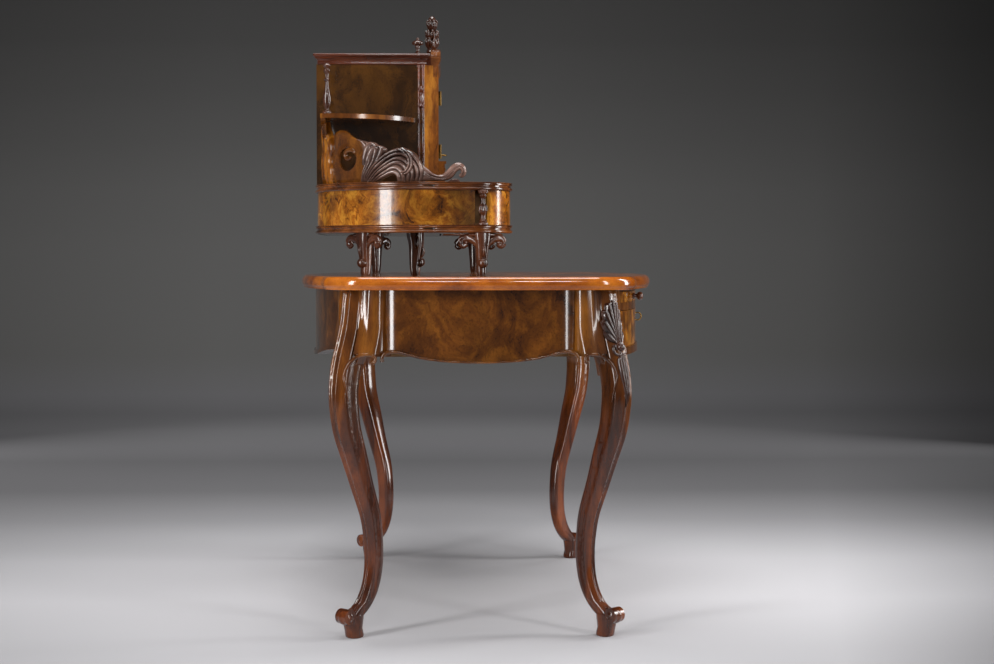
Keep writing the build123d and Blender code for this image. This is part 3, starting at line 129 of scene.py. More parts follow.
def painted_light_paper():
    """Paper with painted light and shade in bands from the near floor to the wall, painted shade to
    both sides of the camera's view, and a painted shadow under the table."""
    material, tree, shader = shader_of("studio_paper_painted_light")
    place = tree.nodes.new("ShaderNodeNewGeometry").outputs["Position"]
    apart = tree.nodes.new("ShaderNodeSeparateXYZ")
    tree.links.new(place, apart.inputs["Vector"])
    reach = ranged(tree, apart.outputs["X"], PAPER_REACH)
    away = tree.nodes.new("ShaderNodeMath")
    away.inputs[1].default_value = -CAMERA_PLACE[0]
    tree.links.new(apart.outputs["X"], away.inputs[0])
    fan = tree.nodes.new("ShaderNodeMath")
    fan.operation = "DIVIDE"
    tree.links.new(apart.outputs["Y"], fan.inputs[0])
    tree.links.new(away.outputs["Value"], fan.inputs[1])
    # Bands of painted light and shade from the near floor up the wall.
    painted_light_stops = []
    for at, tone in PAPER_PAINTED_LIGHT_TONES:
        blue = WALL_BLUE if at > WALL_FROM else FLOOR_BLUE
        painted_light_stops.append((at, (tone, tone * PAPER_GREEN, tone * blue, 1.0)))
    # Painted shade fanned out to both sides of the camera's view.
    side_shade_share = ranged(tree, fan.outputs["Value"], PAINTED_SIDE_SHADE_FAN)
    painted_side_shade = shade_ramp(tree, side_shade_share, PAINTED_SIDE_SHADE_TONES)
    painted_paper_light = darker_by(tree, colour_ramp(tree, reach, painted_light_stops), painted_side_shade)
    # A painted shadow under the table.
    from_painted_shadow = vector_step(tree, "SUBTRACT", place, PAINTED_SHADOW_MIDDLE).outputs["Vector"]
    squeezed = vector_step(tree, "DIVIDE", from_painted_shadow, PAINTED_SHADOW_REACH).outputs["Vector"]
    far = vector_step(tree, "LENGTH", squeezed).outputs["Value"]
    painted_table_shadow = shade_ramp(tree, far, ((0.0, PAINTED_SHADOW_TONE), (1.0, 1.0)))
    tree.links.new(darker_by(tree, painted_paper_light, painted_table_shadow), shader.inputs["Base Color"])
    shader.inputs["Roughness"].default_value = 0.9
    shader.inputs["Specular IOR Level"].default_value = 0.15
    return material


def soft_lamp(name, place, aim, size, power, mirrored=True):
    """A rectangular lamp, itself out of sight; polished wood mirrors it unless told not to."""
    lamp = bpy.data.lights.new(name, "AREA")
    lamp.shape = "RECTANGLE"
    lamp.size, lamp.size_y = size
    lamp.energy = power
    holder = bpy.data.objects.new(name, lamp)
    holder.location = place
    holder.rotation_euler = (Vector(aim) - Vector(place)).to_track_quat("-Z", "Y").to_euler()
    holder.visible_camera = False
    holder.visible_glossy = mirrored
    bpy.context.scene.collection.objects.link(holder)


sweep_line = [(SWEEP_START, 0.0), (SWEEP_BEND, 0.0)]
for step in range(1, BEND_STEPS + 1):
    turn = step / BEND_STEPS * math.pi / 2
    sweep_line.append((SWEEP_BEND + SWEEP_RADIUS * math.sin(turn), SWEEP_RADIUS * (1 - math.cos(turn))))
sweep_line.append((SWEEP_BEND + SWEEP_RADIUS, SWEEP_TOP))
sweep_count = len(sweep_line)
sweep_points = [(x, side, z) for side in (-SWEEP_HALF, SWEEP_HALF) for x, z in sweep_line]
sweep_faces = [(i, i + 1, i + 1 + sweep_count, i + sweep_count) for i in range(sweep_count - 1)]
sweep_mesh = bpy.data.meshes.new("studio_sweep")
sweep_mesh.from_pydata(sweep_points, [], sweep_faces)
sweep_mesh.polygons.foreach_set("use_smooth", [True] * len(sweep_faces))
sweep_mesh.materials.append(painted_light_paper())
sweep = bpy.data.objects.new("studio_sweep", sweep_mesh)
bpy.context.scene.collection.objects.link(sweep)

for name, x, y, wide, power in STRIPS:
    seen = not name.startswith("wide")
    soft_lamp(name, (x, y, STRIP_MIDDLE), LAMP_AIM, (wide, STRIP_TALL), power, seen)
soft_lamp("overhead", OVERHEAD_PLACE, LAMP_AIM, OVERHEAD_SIZE, OVERHEAD_POWER)
for name, place in HIGH_LAMPS:
    soft_lamp(name, place, HIGH_AIM, HIGH_SIZE, HIGH_POWER)

world = bpy.data.worlds.new("studio")
bpy.context.scene.world = world
world.use_nodes = True
world.node_tree.nodes["Background"].inputs["Color"].default_value = WORLD_COLOUR
world.node_tree.nodes["Background"].inputs["Strength"].default_value = WORLD_LIGHT

optics = bpy.data.cameras.new("camera")
optics.sensor_width = 36.0
optics.lens = CAMERA_LENS
optics.clip_end = 60.0
camera = bpy.data.objects.new("camera", optics)
camera.location = CAMERA_PLACE
level = math.cos(CAMERA_PITCH)
look = Vector((level * math.cos(CAMERA_YAW), -level * math.sin(CAMERA_YAW), -math.sin(CAMERA_PITCH)))
camera.rotation_euler = look.to_track_quat("-Z", "Y").to_euler()
bpy.context.scene.collection.objects.link(camera)
bpy.context.scene.camera = camera
bpy.context.scene.view_settings.view_transform = "Standard"

# ---------------------------------------------------------------- legs
# Four cabriole legs in solid walnut, sawn and shaped from the square, each with a channel hollowed
# down its outer corner, a wide ear that meets the aprons, and a toe that rolls up in a scroll.
# French polished, paler above the knee.

MM = 0.001
SHARP_EDGE = 38.0
MERGE_WITHIN = 2e-6
TUBE_SIDES, NEARLY_UPRIGHT = 14, 0.98
# How full a leaf is at its root and how fast it fills from there, and the same from its tip.
LEAF_ENDS = (0.25, 6, 0.2, 5)
# What a leaf's plain crown gives to its height and what its ribs give, and how much of the ribs is
# left at its edges and how much comes back toward its middle.
LEAF_RELIEF, RIB_FULLNESS = (0.5, 0.5, 0.35, 0.65), 0.6
LEG_FOOT = (500.0, 262.0)
# Down the leg: how far out along its diagonal, how high, and how deep.
LEG_LINE = ((-3.0, 732.0, 46.0), (4.0, 680.0, 50.0), (12.0, 630.0, 56.0), (20.0, 598.0, 60.0),
            (29.0, 563.0, 61.0), (35.0, 519.0, 60.0), (28.5, 454.0, 58.0), (13.0, 404.0, 55.0))
LEG_CHANNEL = 10.0
# Across an ear, at its top and at its foot: how far sideways, and how far out its face is.
EAR_TOP_LINE = ((18.0, 8.0), (33.0, 5.0), (45.0, -1.0), (56.0, -10.0), (63.0, -20.5))
EAR_LOW_LINE = ((18.0, 26.0), (33.0, 18.0), (45.0, 8.0), (56.0, -4.0), (63.0, -18.5))
EAR_TOP, EAR_LOW = 732.0, 552.0
EAR_BEAD = ((28.0, 500.0), (25.0, 528.0), (20.0, 552.0), (23.0, 574.0), (30.0, 589.0), (39.0, 597.0),
            (49.0, 599.5), (57.0, 597.0), (61.5, 590.5), (61.5, 583.5), (58.0, 580.5))
EAR_BEAD_OUT = -0.6
EAR_BEAD_RADII = (0.8, 1.8, 2.8, 3.6, 4.0, 4.2, 4.2, 4.0, 3.8, 4.0, 4.8)
EAR_ROLL, EAR_ROLL_LOW, EAR_ROLL_HIGH = (28.0, 62.6), 599.0, EAR_TOP - 0.4
EAR_ROLL_PROUD, EAR_ROLL_BACK = 6.0, 3.0
EAR_ROLL_SECTION = ((0.0, 0.0), (0.18, 0.08), (0.36, 0.28), (0.54, 0.58), (0.70, 0.86), (0.82, 1.0),
                    (0.92, 0.92), (1.0, 0.5))
TOE_CENTRE, TOE_RADIUS, TOE_HALF = (29.0, 46.0), 17.0, 17.5
TOE_FULLNESS, TOE_HUB, TOE_RIM = 0.8, 0.4, 0.05
TOE_NECK = ((-26.0, 76.0, 30.0), (-6.0, 60.0, 29.0), (8.0, 46.0, 31.0), (10.0, 30.0, 33.0),
            (6.0, 14.0, 34.0), (4.0, 4.0, 34.0), (4.0, 0.4, 31.0))
TOE_CURL_REACH, TOE_CURL_START, TOE_CURL_TURN, TOE_CURL_STEPS = 10.5, 0.6, 0.55, 15
TOE_CURL_WIDTHS = (0.9, 1.5, 1.7, 1.6, 1.4, 1.0)
ALONG_X, ALONG_Y, ALONG_Z = (0.3, 2.6, 2.6), (2.6, 0.3, 2.6), (2.6, 2.6, 0.3)
GRAIN_PLACES, BURL_DRAW = (0.32, 0.48, 0.64), 0.10
CLOUD_TONES = ((0.40, 0.22), (0.60, 1.0))
FLECK_TONES, FLECK_SCALE, FLECK_SHARE = ((0.10, 0.15), (0.30, 1.0)), 46.0, 0.5
PORE_TONES, PORE_SHARE, PORE_STRETCH = ((0.34, 0.42), (0.47, 1.0)), 0.45, 1.5
# Painted shade in the hollows of a carving: tones from the ridges to the deepest cuts.
PAINTED_HOLLOW_SHADE_TONES = ((0.15, 1.0), (0.95, 0.10))
# The painted shade over the case, as tones along its span from front to back.
PAINTED_CASE_SHADE_TONES = ((0.0, 1.0), (0.1, 0.30), (0.5, 0.42), (1.0, 1.0))
WEAR_SPAN = (0.3, 0.7)
# Tones run from the dark of the grain to its light.
LEG_TONES = ((38, 14, 5), (82, 36, 11), (128, 62, 20))
HONEY_TONES, HONEY_SPAN = ((50, 23, 7), (100, 54, 15), (142, 86, 26)), (0.40, 0.60)

finish = {}


def srgb(red, green, blue):
    out = []
    for value in (red, green, blue):
        value /= 255
        out.append(value / 12.92 if value <= 0.04045 else ((value + 0.055) / 1.055) ** 2.4)
    return (*out, 1.0)


def noise(tree, vector, scale, detail=6.0, distortion=0.0, roughness=0.55, wanted="Fac"):
    node = tree.nodes.new("ShaderNodeTexNoise")
    tree.links.new(vector, node.inputs["Vector"])
    node.inputs["Scale"].default_value = scale
    node.inputs["Detail"].default_value = detail
    node.inputs["Distortion"].default_value = distortion
    node.inputs["Roughness"].default_value = roughness
    return node.outputs[wanted]


def stretched(tree, place, scale):
    node = tree.nodes.new("ShaderNodeMapping")
    node.inputs["Scale"].default_value = scale
    tree.links.new(place, node.inputs["Vector"])
    return node.outputs["Vector"]


def along_axis(tree, place, axis, span):
    """How far along an axis of the table a place lies, from the start to the end of a span."""
    apart = tree.nodes.new("ShaderNodeSeparateXYZ")
    tree.links.new(place, apart.inputs["Vector"])
    return ranged(tree, apart.outputs[axis], span)


def grained(tree, streak, tones):
    """Dark, middle and light wood laid over the streaks of a grain."""
    return colour_ramp(tree, streak, [(at, srgb(*tone)) for at, tone in zip(GRAIN_PLACES, tones)])


def bumped(tree, height, shader, strength, distance):
    relief = tree.nodes.new("ShaderNodeBump")
    relief.inputs["Strength"].default_value = strength
    relief.inputs["Distance"].default_value = distance
    tree.links.new(height, relief.inputs["Height"])
    tree.links.new(relief.outputs["Normal"], shader.inputs["Normal"])


def swirled(tree, along, place, burl):
    """The run of the grain, drawn aside in whirls as it is in a burl."""
    swirl = noise(tree, place, scale=13.0, detail=4.0, distortion=1.2, wanted="Color")
    moved = tree.nodes.new("ShaderNodeMix")
    moved.data_type = "VECTOR"
    moved.inputs["Factor"].default_value = BURL_DRAW * burl
    tree.links.new(along, moved.inputs["A"])
    tree.links.new(swirl, moved.inputs["B"])
    return moved.outputs["Result"]


def flecked(tree, colour, along, burl):
    """The small dark eyes of a burl."""
    eyes = tree.nodes.new("ShaderNodeTexVoronoi")
    eyes.feature = "SMOOTH_F1"
    eyes.inputs["Scale"].default_value = FLECK_SCALE
    tree.links.new(along, eyes.inputs["Vector"])
    fleck = shade_ramp(tree, eyes.outputs["Distance"], FLECK_TONES)
    return darker_by(tree, colour, fleck, FLECK_SHARE * burl)


def changed_upward(tree, lower, upper, place):
    """One colour that turns into another between the two heights of the honey span."""
    change = tree.nodes.new("ShaderNodeMix")
    change.data_type = "RGBA"
    tree.links.new(along_axis(tree, place, "Z", HONEY_SPAN), change.inputs["Factor"])
    tree.links.new(lower, change.inputs["A"])
    tree.links.new(upper, change.inputs["B"])
    return change.outputs["Result"]


def polished_wood(name, tones, grain, burl=0.0, blotch=0.4, gloss=0.55, rough=(0.12, 0.24),
                  upper_tones=None, painted_shade_span=None, coat=0.05):
    """Walnut under French polish: long grain or burl, cloudy figure, dark eyes, open pores, a dull
    patch here and there, and painted shade in the hollows of a carving. A leg changes its tones with
    height, and the case gets painted shade over a span from front to back."""
    material, tree, shader = shader_of(name)
    links = tree.links
    place = tree.nodes.new("ShaderNodeTexCoord").outputs["Object"]
    along = stretched(tree, place, grain)
    if burl:
        along = swirled(tree, along, place, burl)
    streak = noise(tree, along, scale=8.0 + 10.0 * burl, detail=9.0, distortion=0.5 + burl, roughness=0.62)
    colour = grained(tree, streak, tones)
    if upper_tones:
        colour = changed_upward(tree, colour, grained(tree, streak, upper_tones), place)
    # Painted shade over a span of the case from front to back.
    if painted_shade_span:
        depth = along_axis(tree, place, "Y", painted_shade_span)
        colour = darker_by(tree, colour, shade_ramp(tree, depth, PAINTED_CASE_SHADE_TONES))
    cloud = noise(tree, place, scale=5.0 + 5.0 * burl, detail=4.0, distortion=0.8)
    colour = darker_by(tree, colour, shade_ramp(tree, cloud, CLOUD_TONES), blotch)
    if burl:
        colour = flecked(tree, colour, along, burl)
    fine_grain = stretched(tree, place, tuple(value * PORE_STRETCH for value in grain))
    pores = noise(tree, fine_grain, scale=150.0, detail=2.0, distortion=0.1)
    colour = darker_by(tree, colour, shade_ramp(tree, pores, PORE_TONES), PORE_SHARE)
    # Painted shade in the hollows of a carving, from how hollow each point is.
    hollow = tree.nodes.new("ShaderNodeAttribute")
    hollow.attribute_name = "hollow"
    shade = shade_ramp(tree, hollow.outputs["Fac"], PAINTED_HOLLOW_SHADE_TONES)
    links.new(darker_by(tree, colour, shade), shader.inputs["Base Color"])
    wear = noise(tree, place, scale=6.0, distortion=0.4)
    links.new(ranged(tree, wear, WEAR_SPAN, rough), shader.inputs["Roughness"])
    bumped(tree, pores, shader, strength=0.08, distance=0.0006)
    shader.inputs["Coat Weight"].default_value = gloss
    shader.inputs["Coat Roughness"].default_value = coat
    shader.inputs["Specular IOR Level"].default_value = 0.35
    finish[name] = material


def dress(look, *names):
    """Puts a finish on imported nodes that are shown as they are."""
    for name in names:
        nodes[name].data.materials.clear()
        nodes[name].data.materials.append(finish[look])


def smooth_line(points, steps=6):
    """A curve through the points, with their ends kept."""
    line = []
    last = len(points) - 1
    for i in range(last):
        before, start, stop, after = points[max(i - 1, 0)], points[i], points[i + 1], points[min(i + 2, last)]
        for step in range(steps):
            t = step / steps
            line.append(tuple(0.5 * (2 * b + (c - a) * t + (2 * a - 5 * b + 4 * c - d) * t * t
                                     + (3 * b - a - 3 * c + d) * t ** 3)
                              for a, b, c, d in zip(before, start, stop, after)))
    line.append(tuple(points[-1]))
    return line


def between(pairs, at):
    """The value at a place, read off a list of place and value pairs."""
    if at <= pairs[0][0]:
        return pairs[0][1]
    for (a, first), (b, second) in zip(pairs, pairs[1:]):
        if at <= b:
            return first + (second - first) * (at - a) / (b - a)
    return pairs[-1][1]


def shared(values, at):
    """The value at a share of the way along an even list of values."""
    return between([(i / (len(values) - 1), value) for i, value in enumerate(values)], at)


def grid(rows, columns, start=0, round_rows=False, round_columns=False):
    """The faces between rows of points, closed round in either direction if asked."""
    faces = []
    for r in range(rows if round_rows else rows - 1):
        for c in range(columns if round_columns else columns - 1):
            r1, c1 = (r + 1) % rows, (c + 1) % columns
            corners = (r * columns + c, r * columns + c1, r1 * columns + c1, r1 * columns + c)
            faces.append(tuple(start + value for value in corners))
    return faces


def end_faces(rows, columns):
    """The two faces that close the first and the last of a run of rings."""
    return [tuple(range(columns)), tuple((rows - 1) * columns + c for c in range(columns))]


def skin_and_back(front, rear, rows, columns, hollows):
    """A closed solid from a shaped front, a back and the edge between them."""
    size = rows * columns
    faces = grid(rows, columns) + grid(rows, columns, size)
    edge = list(range(columns)) + [r * columns + columns - 1 for r in range(1, rows)]
    edge += [(rows - 1) * columns + c for c in range(columns - 2, -1, -1)]
    edge += [r * columns for r in range(rows - 2, 0, -1)]
    for a, b in zip(edge, edge[1:] + edge[:1]):
        faces.append((a, b, size + b, size + a))
    return front + rear, faces, hollows + [0.0] * size


def piece(name, solids, slot, look=None, body="frame"):
    """One object from closed solids, each with its points in millimetres, its faces and how hollow
    each point is, which sets its painted shade. Where a look is named, it wears that finish in place of
    its slot's own."""
    points, faces, hollows = [], [], []
    for solid_points, solid_faces, solid_hollows in solids:
        faces += [tuple(len(points) + i for i in face) for face in solid_faces]
        points += [tuple(value * MM for value in point) for point in solid_points]
        hollows += solid_hollows or [0.0] * len(solid_points)
    mesh = bpy.data.meshes.new(name)
    mesh.from_pydata(points, [], faces)
    mesh.attributes.new("hollow", "FLOAT", "POINT").data.foreach_set("value", hollows)
    shell = bmesh.new()
    shell.from_mesh(mesh)
    bmesh.ops.remove_doubles(shell, verts=shell.verts, dist=MERGE_WITHIN)
    bmesh.ops.recalc_face_normals(shell, faces=shell.faces)
    shell.to_mesh(mesh)
    shell.free()
    mesh.polygons.foreach_set("use_smooth", [True] * len(mesh.polygons))
    mesh.set_sharp_from_angle(angle=math.radians(SHARP_EDGE))
    mesh.materials.append(finish[look or slot])
    made = bpy.data.objects.new(name, mesh)
    bpy.context.scene.collection.objects.link(made)
    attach(made, body)
    return made


def rib(across, ribs, fullness=RIB_FULLNESS):
    """How high the ribs of a leaf stand at a place from -1 to 1 across it, from 0 to 1."""
    return abs(math.sin(math.pi * ribs * (across + 1) / 2)) ** fullness


def thinned(share, root, root_rise, tip, tip_rise):
    """How full a leaf is along its length, thinned down toward its root and its tip."""
    return min(1.0, root + root_rise * share, tip + tip_rise * (1 - share))


def relief(crown, ridge, plain, ribbed, edge, middle):
    """How high a leaf stands at a place, from its plain crown and from its ribs."""
    return plain * crown + ribbed * ridge * (edge + middle * crown)


def leaf(place, spine, widths, rise, thick, ribs=1):
    """A carved blade laid along a spine on a surface: ribbed across, thin at its ends, closed
    behind."""
    line = smooth_line(spine)
    half_columns = max(5, 4 * ribs)
    front, rear, hollows = [], [], []
    for i, here in enumerate(line):
        share = i / (len(line) - 1)
        before, after = line[max(i - 1, 0)], line[min(i + 1, len(line) - 1)]
        run = (after[0] - before[0], after[1] - before[1])
        long = math.hypot(*run)
        half = shared(widths, share)
        tall = rise * thinned(share, *LEAF_ENDS)
        for column in range(-half_columns, half_columns + 1):
            v = column / half_columns
            crown = math.sqrt(max(0.0, 1 - v * v))
            ridge = rib(v, ribs)
            out = tall * relief(crown, ridge, *LEAF_RELIEF)
            a = here[0] - run[1] / long * half * v
            b = here[1] + run[0] / long * half * v
            front.append(place(a, b, out))
            rear.append(place(a, b, -thick))
            hollows.append(1.0 - ridge if ribs > 1 else 0.0)
    return skin_and_back(front, rear, len(line), 2 * half_columns + 1, hollows)


def tube(points, radii, squash=1.0):
    """A round bead that follows a line through space, closed at its ends."""
    line = smooth_line(points)
    rings = []
    guide, other_guide = Vector((0.0, 0.0, 1.0)), Vector((1.0, 0.0, 0.0))
    for i, here in enumerate(line):
        before, after = Vector(line[max(i - 1, 0)]), Vector(line[min(i + 1, len(line) - 1)])
        run = (after - before).normalized()
        across = run.cross(guide if abs(run.dot(guide)) < NEARLY_UPRIGHT else other_guide).normalized()
        if i and across.dot(last_across) < 0:
            across = -across
        last_across = across
        up = across.cross(run).normalized()
        radius = shared(radii, i / (len(line) - 1))
        for side in range(TUBE_SIDES):
            turn = 2 * math.pi * side / TUBE_SIDES
            flat, tall = across * radius * math.cos(turn), up * radius * squash * math.sin(turn)
            rings.append(tuple(Vector(here) + flat + tall))
    faces = grid(len(line), TUBE_SIDES, round_columns=True) + end_faces(len(line), TUBE_SIDES)
    return rings, faces, None


def lathe(place, profile, sides=40, petals=0, petal_depth=0.0, petal_span=(0.0, 1.0)):
    """Turned work: radius and height pairs swept round, with petals carved over a span of its
    height if asked."""
    points, hollows = [], []
    low, high = profile[0][1], profile[-1][1]
    for radius, up in profile:
        share = (up - low) / (high - low)
        for side in range(sides):
            turn = 2 * math.pi * side / sides
            cut = 0.0
            # A petal's cut also sets how much painted shade it gets.
            if petals and petal_span[0] < share < petal_span[1]:
                fade = math.sin(math.pi * (share - petal_span[0]) / (petal_span[1] - petal_span[0]))
                cut = (1 - abs(math.sin(petals * turn / 2))) * fade
            here = radius * (1 - petal_depth * cut)
            points.append(place(here * math.cos(turn), here * math.sin(turn), up))
            hollows.append(cut)
    faces = grid(len(profile), sides, round_columns=True) + end_faces(len(profile), sides)
    return points, faces, hollows


def swept_block(place, rows, sides=28, squareness=0.6):
    """A shaped block through rounded square sections, each given as out, height, width and depth."""
    points = []
    for out, high, wide, deep in rows:
        for side in range(sides):
            turn = 2 * math.pi * side / sides
            c, s = math.cos(turn), math.sin(turn)
            points.append(place(out + deep / 2 * math.copysign(abs(c) ** squareness, c),
                                wide / 2 * math.copysign(abs(s) ** squareness, s), high))
    return points, grid(len(rows), sides, round_columns=True) + end_faces(len(rows), sides), None


def leg_corner(sign_x, sign_y):
    """From outward, sideways and height on the diagonal of a leg to the table's own frame."""
    def place(out, side, high):
        x = LEG_FOOT[0] + (out - side) / math.sqrt(2)
        y = LEG_FOOT[1] + (out + side) / math.sqrt(2)
        return (sign_x * x, sign_y * y, high)
    return place


leg_skin = sorted((high, out + deep / 2) for out, high, deep in LEG_LINE)


def leg_face(side, high):
    """How far out the skin of a leg and its ear stands."""
    shaft = between(leg_skin, high) - max(0.0, abs(side) - LEG_CHANNEL)
    drop = (EAR_TOP - high) / (EAR_TOP - EAR_LOW)
    if drop > 1 or not EAR_TOP_LINE[0][0] < abs(side) <= EAR_TOP_LINE[-1][0]:
        return shaft
    return max(shaft, between(EAR_TOP_LINE, abs(side)) * (1 - drop) + between(EAR_LOW_LINE, abs(side)) * drop)


def ear_roll(skin, side):
    """The upright roll on an ear, from its section as shares of its width and of how proud it is."""
    rows, columns = 8, 25
    first, last = side * EAR_ROLL[0], side * EAR_ROLL[1]
    section = smooth_line(EAR_ROLL_SECTION)
    front, rear = [], []
    for row in range(rows):
        high = EAR_ROLL_LOW + (EAR_ROLL_HIGH - EAR_ROLL_LOW) * row / (rows - 1)
        for column in range(columns):
            share = column / (columns - 1)
            across = first + (last - first) * share
            front.append(skin(across, high, EAR_ROLL_PROUD * between(section, share)))
            rear.append(skin(across, high, -EAR_ROLL_BACK))
    return skin_and_back(front, rear, rows, columns, [0.0] * (rows * columns))


toe_barrel = []
for degrees in range(-88, 89, 8):
    turn = math.radians(degrees)
    toe_barrel.append((max(TOE_HUB, TOE_RADIUS * math.cos(turn) ** TOE_FULLNESS), TOE_HALF * math.sin(turn)))
toe_curl = []
for step in range(TOE_CURL_STEPS):
    turn = TOE_CURL_START + TOE_CURL_TURN * step
    reach = TOE_CURL_REACH * (1 - step / (TOE_CURL_STEPS + 2))
    toe_curl.append((TOE_CENTRE[0] + reach * math.cos(turn), TOE_CENTRE[1] + reach * math.sin(turn)))
toe_neck = [(out, high, wide, wide) for out, high, wide in smooth_line(TOE_NECK, 4)]

polished_wood("leg_walnut", LEG_TONES, ALONG_Z, upper_tones=HONEY_TONES, coat=0.12)
leg_names = {(1, 1): "back_right", (-1, 1): "back_left", (1, -1): "front_right", (-1, -1): "front_left"}
for signs, leg_name in leg_names.items():
    dress("leg_walnut", "leg_" + leg_name)
    corner = leg_corner(*signs)

    def on_leg(side, high, out):
        return corner(leg_face(side, high) + out, side, high)

    def toe_place(a, b, along):
        return corner(TOE_CENTRE[0] + a, along, TOE_CENTRE[1] + b)

    ears = []
    volutes = [lathe(toe_place, toe_barrel, sides=36), swept_block(corner, toe_neck)]
    for side in (-1, 1):
        bead = [on_leg(side * across, high, EAR_BEAD_OUT) for across, high in EAR_BEAD]
        ears.append(tube(bead, EAR_BEAD_RADII))
        ears.append(ear_roll(on_leg, side))

        def on_toe(out, high, proud):
            far = math.hypot(out - TOE_CENTRE[0], high - TOE_CENTRE[1]) / TOE_RADIUS
            return corner(out, side * (TOE_HALF * math.sqrt(max(TOE_RIM, 1 - far * far)) + proud), high)

        volutes.append(leaf(on_toe, toe_curl, TOE_CURL_WIDTHS, rise=1.6, thick=2.0))
    piece("ear_scrolls_" + leg_name, ears, "leg_walnut")
    piece("toe_scrolls_" + leg_name, volutes, "leg_walnut")

# ---------------------------------------------------------------- front knees
# The two front knees are carved in the solid walnut: a fan of ribs over a round boss, a leaf that
# hangs below it, and a small curl each side of the boss.

KNEE_LEAN, KNEE_FALL = 5.0, 0.013
FAN_RIBS, FAN_SPREAD, FAN_REACH, FAN_NARROW = 9, 1.25, 98.0, 0.50
FAN_START, FAN_NOTCH, FAN_ROUND, FAN_WAIST, FAN_FULLNESS = 0.08, 0.12, 0.52, 0.62, 0.55
FAN_PROUD, FAN_CUT, FAN_BACK = 1.0, (1.6, 3.6), 6.0
FAN_SWELL, FAN_DROP = (3.0, 4), (3.2, 9)
BOSS_AT, BOSS_OUT = 613.0, 46.0
BOSS = ((11.2, -6.0), (11.6, 0.5), (10.4, 2.0), (8.6, 2.2), (8.8, 3.4), (8.0, 6.6), (6.0, 9.0), (3.4, 10.3),
        (0.6, 10.8))
HANGING_LEFT = ((-2.0, 604.0), (-11.0, 588.0), (-12.0, 566.0), (-9.0, 540.0), (-6.0, 515.0), (-1.0, 488.0))
HANGING_RIGHT = ((2.0, 604.0), (14.0, 588.0), (15.0, 566.0), (13.0, 540.0), (8.0, 512.0), (1.0, 488.0))
KNEE_CURL = ((2.0, 600.0), (10.0, 597.0), (17.0, 602.0), (18.5, 611.0), (14.5, 616.5), (11.5, 612.0))
KNEE_CURL_OUT = 2.0
KNEE_CURL_RADII = (1.6, 2.6, 3.0, 3.0, 2.6, 2.4)
BLADE_ROWS, BLADE_ENDS, BLADE_RELIEF = 42, (0.3, 5, 0.25, 6), (0.45, 0.55, 0.3, 0.7)
# How much painted shade a blade's hollows get, and its edges.
BLADE_SHADE, BLADE_EDGE_SHADE = 0.7, 0.35

polished_wood("carved_walnut", ((38, 18, 10), (70, 36, 21), (104, 60, 38)), ALONG_Z, rough=(0.16, 0.3))


def ruled_leaf(place, first, second, ribs, rise, thick, lift=0.0, curl=0.0):
    """A carved blade between two edge lines on a surface, ribbed along its length, closed behind."""
    rows, columns = BLADE_ROWS, 8 * ribs + 1
    lines = [smooth_line(line) for line in (first, second)]
    front, rear, hollows = [], [], []
    for row in range(rows):
        share = row / (rows - 1)
        ends = [tuple(shared([point[axis] for point in line], share) for axis in (0, 1)) for line in lines]
        tall = rise * thinned(share, *BLADE_ENDS) + curl * share ** 3
        for column in range(columns):
            v = 2 * column / (columns - 1) - 1
            ridge = rib(v, ribs)
            crown = math.sqrt(max(0.0, 1 - v * v)) ** RIB_FULLNESS
            a, b = ((one * (1 - v) + two * (1 + v)) / 2 for one, two in zip(*ends))
            front.append(place(a, b, lift + tall * relief(crown, ridge, *BLADE_RELIEF)))
            rear.append(place(a, b, -thick))
            inside = 0 < column < columns - 1
            hollows.append(BLADE_SHADE - BLADE_SHADE * ridge if inside else BLADE_EDGE_SHADE)
    return skin_and_back(front, rear, rows, columns, hollows)


def knee_fan(on_knee):
    """A fan of ribs that spreads upward from the boss, deeper cut toward its rim, where it swells
    and drops."""
    rows, columns = 30, 8 * FAN_RIBS + 1
    front, rear, hollows = [], [], []
    for row in range(rows):
        share = FAN_START + (1 - FAN_START) * row / (rows - 1)
        swell = FAN_SWELL[0] * share ** FAN_SWELL[1] - FAN_DROP[0] * share ** FAN_DROP[1]
        cut = FAN_CUT[0] + FAN_CUT[1] * share
        for column in range(columns):
            v = 2 * column / (columns - 1) - 1
            ridge = rib(v, FAN_RIBS, FAN_FULLNESS)
            reach = FAN_REACH * share * (1 - FAN_NOTCH * (1 - ridge)) * (1 - FAN_ROUND * v * v)
            across = reach * math.sin(v * FAN_SPREAD) * FAN_NARROW * (FAN_WAIST + (1 - FAN_WAIST) * share)
            high = BOSS_AT + reach * math.cos(v * FAN_SPREAD)
            front.append(on_knee(across, high, FAN_PROUD + cut * ridge + swell))
            rear.append(on_knee(across, high, -FAN_BACK))
            hollows.append(1.0 - ridge)
    return skin_and_back(front, rear, rows, columns, hollows)


for side_name, side_x in (("left", -1), ("right", 1)):
    corner = leg_corner(side_x, -1)

    def on_knee(side, high, out):
        return corner(between(leg_skin, high) - KNEE_FALL * side * side + out, side - KNEE_LEAN, high)

    def boss_place(a, b, up):
        return corner(BOSS_OUT + up, a - KNEE_LEAN, BOSS_AT + b)

    hanging = ruled_leaf(on_knee, HANGING_LEFT, HANGING_RIGHT, ribs=4, rise=5.0, thick=5.0)
    carved = [knee_fan(on_knee), hanging]
    for side in (-1, 1):
        curl = [on_knee(side * across, high, KNEE_CURL_OUT) for across, high in KNEE_CURL]
        carved.append(tube(curl, KNEE_CURL_RADII))
    carved.append(lathe(boss_place, BOSS, sides=32))
    carving = piece("front_knee_carving_" + side_name, carved, "carved_walnut")
    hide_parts("knee_carvings")

# ---------------------------------------------------------------- aprons
# Shaped rails tenoned between the legs: pine, bowed in plan and faced with walnut veneer, with a
# carved bead along the low edge of each end rail.

